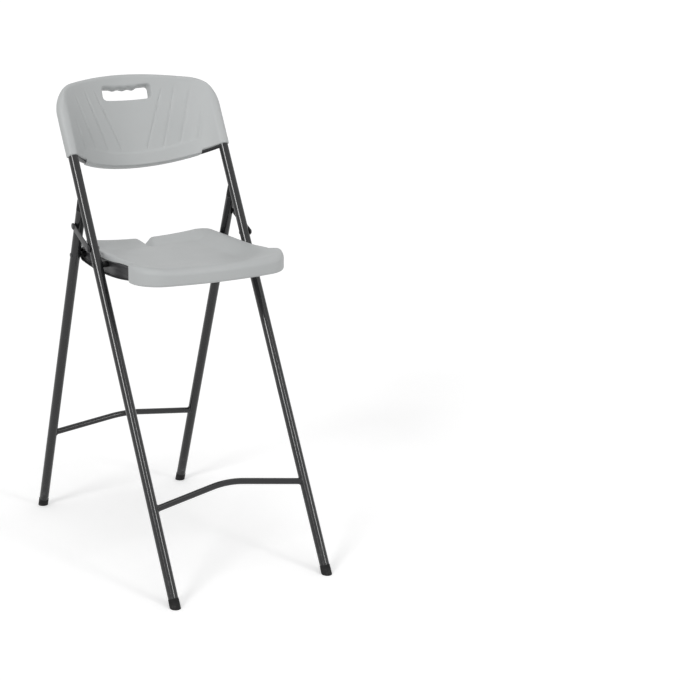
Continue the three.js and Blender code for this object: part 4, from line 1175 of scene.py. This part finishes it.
def rail(side):
    """Pressed rail: a web whose rim turns outwards all round, with rounded bends and a rolled lip."""
    outline = rail_outline() + SEAT_PIVOT
    bend, lip = RAIL_BEND, RAIL_STEEL / 2
    turn = np.linspace(0, np.pi / 2, 6)
    outer = [(bend * (1 - math.sin(t)), RAIL_WEB + bend * (1 - math.cos(t))) for t in turn]
    reach = SEAT_HALF_WIDTH + RAIL_LIP_PROUD - lip
    rim = [(lip - lip * math.cos(t), reach + lip * math.sin(t)) for t in np.linspace(0, np.pi, 9)]
    floor = RAIL_WEB + RAIL_STEEL
    inner = [(RAIL_STEEL + bend * (1 - math.cos(t)), floor + bend * (1 - math.sin(t))) for t in turn]
    rings = plate_rings(outline, outer + rim + inner, SIDES[side])
    name = f"{side}_seat_rail"
    return finish_piece(skin(name, rings, FITTING_SHARP_ANGLE), "seat", "rail_paint", name)


def link_outline():
    """Side view of a link: two round ends of different size and their two common tangents."""
    low_r, top_r = LINK_LOWER_D / 2, LINK_UPPER_D / 2
    run = LINK_TOP - LINK_BOTTOM
    heading = math.degrees(math.atan2(run[1], run[0]))
    turn = math.degrees(math.acos((top_r - low_r) / np.linalg.norm(run)))
    ends = [
        arc(LINK_BOTTOM, low_r, heading + turn, heading - turn + 360, steps=40),
        arc(LINK_TOP, top_r, heading - turn, heading + turn, steps=30),
    ]
    return spread(np.concatenate(ends), LINK_POINTS, closed=True)


def link(side):
    """Link: a flat strap outside the post and the rear leg."""
    profile = edge_profile(LINK_INSIDE, LINK_OUTSIDE, PLATE_EDGE_ROUND)
    rings = plate_rings(link_outline(), profile, SIDES[side])
    name = f"{side}_link"
    return finish_piece(skin(name, rings, FITTING_SHARP_ANGLE), name, "rail_paint", name)


def seat_cross_bar(name, y):
    """Flat bar under the seat: a rounded rectangle in plan with softened edges."""
    reach, half, corner = RAIL_WEB - GAP, CROSS_BAR_WIDTH / 2, CROSS_BAR_CORNER
    corners = [(reach - corner, half - corner, 0), (corner - reach, half - corner, 90),
               (corner - reach, corner - half, 180), (reach - corner, corner - half, 270)]
    outline = np.concatenate([arc((x, v + y), corner, turn, turn + 90, steps=6) for x, v, turn in corners])
    top = SEAT_UNDERSIDE - GAP
    profile = edge_profile(top - CROSS_BAR_STEEL, top, PLATE_EDGE_ROUND)
    rings = plate_rings(outline, profile, 1)[..., [1, 2, 0]]
    return finish_piece(skin(name, from_seat(rings)), "seat", "rail_paint", name)


# Pivot pins, washers and screws
def domed_head(face, radius, height, steps=8):
    """Outline of a head from its face outwards: a short straight edge, then a quarter ellipse inwards."""
    rim = height * HEAD_EDGE_SHARE
    turn = np.linspace(0, np.pi / 2, steps + 1)
    dome = [[face + rim + (height - rim) * math.sin(t), radius * math.cos(t)] for t in turn[:-1]]
    cut = rim * HEAD_CUT_SHARE
    return [[face, radius - cut], [face + cut, radius], *dome]


def pin(name, side, near, far, near_head, far_head, at, body):
    """Pin along x with a domed head at each end: near and far are the heads' inner faces."""
    mirrored = [[near - (x - near), r] for x, r in domed_head(near, *near_head)][::-1]
    outline = [*mirrored, [near, PIN_D / 2], [far, PIN_D / 2], *domed_head(far, *far_head)]
    rings = turned(outline, "x", at)
    rings[..., 0] *= SIDES[side]
    return finish_piece(skin(name, rings, FITTING_SHARP_ANGLE), body, "rivet_steel", name)


def washer(name, side, near, far, diameter, at, body):
    """Ring along x round a pin, its outer edges rounded by a third of its width at most."""
    edge = min(END_ROUND, (far - near) / 3)
    turn = np.linspace(0, np.pi / 2, 5)
    outer = [[near + edge * (1 - math.cos(t)), diameter / 2 - edge * (1 - math.sin(t))] for t in turn]
    outer += [[near + far - x, r] for x, r in reversed(outer)]
    bore = PIN_D / 2 + GAP
    rings = turned([[near, bore], *outer, [far, bore]], "x", at)
    rings[..., 0] *= SIDES[side]
    return finish_piece(hoop(name, rings, FITTING_SHARP_ANGLE), body, "bush_nylon", name)


def pivot_pins(side):
    """The side's two fold rivets, the link's bolt, and the rivet at the link's upper end."""
    round_head = (PIN_HEAD_D / 2, PIN_HEAD)
    flush = (FLUSH_HEAD_D / 2, FLUSH_HEAD)
    inner, outer = RAIL_WEB - GAP, OUTSIDE + GAP
    pin(f"{side}_seat_pivot_rivet", side, inner, outer, round_head, flush, SEAT_PIVOT, "front_frame")
    pin(f"{side}_rear_pivot_rivet", side, inner, outer, round_head, flush, REAR_PIVOT, "rear_frame")
    nut, bolt = (LINK_NUT_D / 2, LINK_NUT), (LINK_BOLT_HEAD_D / 2, LINK_BOLT_HEAD)
    pin(f"{side}_link_bolt", side, INSIDE - GAP, LINK_OUTSIDE + GAP, nut, bolt, LINK_BOTTOM, "front_frame")
    stub = (PIN_D / 2, GAP)
    shank_end = OUTSIDE + 2 * GAP
    link_face = LINK_OUTSIDE + GAP
    pin(f"{side}_link_rivet", side, shank_end, link_face, stub, round_head, LINK_TOP, f"{side}_link")


def rings_on_pins(side):
    """The side's bushes between rail and post or leg, and the washer under its link."""
    bush = (RAIL_WEB + RAIL_STEEL + GAP, INSIDE - GAP, BUSH_D)
    washer(f"{side}_seat_pivot_bush", side, *bush, SEAT_PIVOT, "front_frame")
    washer(f"{side}_rear_pivot_bush", side, *bush, REAR_PIVOT, "rear_frame")
    thin = (OUTSIDE + GAP, LINK_INSIDE - GAP, LINK_WASHER_D)
    washer(f"{side}_link_washer", side, *thin, LINK_BOTTOM, "front_frame")


def screw_head_rings():
    """Pan head facing +z, on z = 0: a half ellipse with a cross sunk in by a smooth step about each arm."""
    cos, sin = circle(TUBE_SIDES)
    radius = SCREW_HEAD_D / 2
    turn = np.linspace(0, np.pi / 2, SCREW_RINGS)[1:-1]
    r = np.concatenate([[radius * SCREW_UNDER_SHARE, radius], radius * np.cos(turn)])
    dome = SCREW_EDGE_SHARE + (1 - SCREW_EDGE_SHARE) * np.sin(turn)
    z = np.concatenate([[0, 0], SCREW_HEAD * dome])
    x, y = r[:, None] * cos, r[:, None] * sin
    arm = np.minimum(np.abs(x), np.abs(y))
    reach = np.maximum(np.abs(x), np.abs(y))
    past_end = (reach - SCREW_CROSS / 2) / SCREW_CROSS_WIDTH + 1
    sunk = (1 - ease(arm / SCREW_CROSS_WIDTH)) * (1 - ease(past_end))
    return np.stack([x, y, z[:, None] - SCREW_CROSS_DEPTH * sunk], -1)


def back_screws(side):
    """Screws that hold the backrest to the posts from behind."""
    for number, up in enumerate(BACK_SCREWS_UP, 1):
        x, y, z = np.moveaxis(screw_head_rings(), -1, 0)
        place = [SIDES[side] * HALF_SPACING, BACK_SOCKET_HALF + GAP, BACK_BOTTOM + up]
        rings = from_post(np.stack([x, z, y], -1) + place)
        name = f"{side}_backrest_screw_{number}"
        finish_piece(skin(name, rings, FITTING_SHARP_ANGLE), "front_frame", "plated_steel", name)


def seat_screws():
    """Screws that hold the seat to its flat bars from below."""
    seat_face = SEAT_UNDERSIDE - 2 * GAP - CROSS_BAR_STEEL
    bars = (CROSS_BAR_FRONT, CROSS_BAR_REAR)
    places = [(sign * SEAT_SCREW_HALF_SPACING, y) for y in bars for sign in SIDES.values()]
    for number, (across, y) in enumerate(places, 1):
        x, v, z = np.moveaxis(screw_head_rings(), -1, 0)
        rings = from_seat(np.stack([x + across, v + y, seat_face - z], -1))
        name = f"seat_screw_{number}"
        finish_piece(skin(name, rings, FITTING_SHARP_ANGLE), "seat", "plated_steel", name)


# The stool
backrest()
seat()
crossbar()
stretcher("front", FRONT_STRETCHER_ALONG, FRONT_STRETCHER_RISE, from_post, "front_frame")
stretcher("rear", REAR_STRETCHER_ALONG, REAR_STRETCHER_RISE, from_leg, "rear_frame")
post_end = BACK_BOTTOM + POST_INSERT
leg_end = LEG_TOP - PLUG_CAP - GAP
for side in SIDES:
    straight_tube(f"{side}_post", side, tube_end(POST_LEAN), post_end, from_post, "front_frame")
    straight_tube(f"{side}_rear_leg", side, tube_end(LEG_LEAN), leg_end, from_leg, "rear_frame")
    foot_cap(side, "front", POST_LEAN, from_post, "front_frame")
    foot_cap(side, "rear", LEG_LEAN, from_leg, "rear_frame")
    plug(side)
    rail(side)
    link(side)
    pivot_pins(side)
    rings_on_pins(side)
    back_screws(side)
seat_cross_bar("front_seat_cross_bar", CROSS_BAR_FRONT)
seat_cross_bar("rear_seat_cross_bar", CROSS_BAR_REAR)
seat_screws()


# Camera, from the photograph's perspective
def place_camera():
    """Camera turned about the object by azimuth and elevation, then rolled about its own axis."""
    azimuth, elevation, roll = (math.radians(a) for a in (CAMERA_AZIMUTH, CAMERA_ELEVATION, CAMERA_ROLL))
    reach = math.cos(elevation)
    back = Vector((math.sin(azimuth) * reach, -math.cos(azimuth) * reach, math.sin(elevation)))
    level = Vector((math.cos(azimuth), math.sin(azimuth), 0))
    upright = back.cross(level)
    right = level * math.cos(roll) + upright * math.sin(roll)
    turned_axes = Matrix((right, back.cross(right), back)).transposed().to_4x4()
    camera = bpy.data.objects.new("camera", bpy.data.cameras.new("camera"))
    camera.matrix_world = Matrix.Translation(CAMERA_PLACE) @ turned_axes
    camera.data.sensor_width = SENSOR_WIDTH
    camera.data.lens = LENS
    bpy.context.scene.collection.objects.link(camera)
    bpy.context.scene.camera = camera


def seen_directly(tree):
    """1 for camera, glossy and transmission rays, 0 for the light that falls on things."""
    path = tree.nodes.new("ShaderNodeLightPath").outputs
    seen = maths(tree, "MAXIMUM", path["Is Camera Ray"], path["Is Glossy Ray"])
    return maths(tree, "MAXIMUM", seen, path["Is Transmission Ray"])


def floor():
    """Pale floor, wide enough to fill the view."""
    half = FLOOR_HALF_WIDTH
    corners = np.array([[-half, -half, 0], [half, -half, 0], [half, half, 0], [-half, half, 0]])
    mesh = bpy.data.meshes.new("floor")
    mesh.from_pydata(corners.tolist(), [], [[0, 1, 2, 3]])
    piece = bpy.data.objects.new("floor", mesh)
    bpy.context.scene.collection.objects.link(piece)
    material, tree, shader, place = new_material("floor", Roughness=0.9)
    shader.inputs["Base Color"].default_value = FLOOR_COLOUR
    shader.inputs["Emission Color"].default_value = (1, 1, 1, 1)
    glow = maths(tree, "MULTIPLY", seen_directly(tree), FLOOR_GLOW)
    tree.links.new(glow, shader.inputs["Emission Strength"])
    mesh.materials.append(material)


def lighting():
    """White surroundings at a plain level, and two soft suns."""
    world = bpy.data.worlds.new("studio")
    bpy.context.scene.world = world
    world.use_nodes = True
    tree = world.node_tree
    background = tree.nodes["Background"]
    background.inputs["Color"].default_value = (1, 1, 1, 1)
    strength = maths(tree, "MULTIPLY_ADD", seen_directly(tree), 1 - WORLD_LIGHT, WORLD_LIGHT)
    tree.links.new(strength, background.inputs["Strength"])
    for name, (azimuth, elevation, power, width) in SUNS.items():
        sun = bpy.data.lights.new(name, "SUN")
        sun.energy = power
        sun.angle = math.radians(width)
        lamp = bpy.data.objects.new(name, sun)
        lamp.rotation_euler = (math.radians(90 - elevation), 0, math.radians(azimuth))
        bpy.context.scene.collection.objects.link(lamp)


place_camera()
floor()
lighting()
bpy.context.scene.view_settings.view_transform = "Standard"
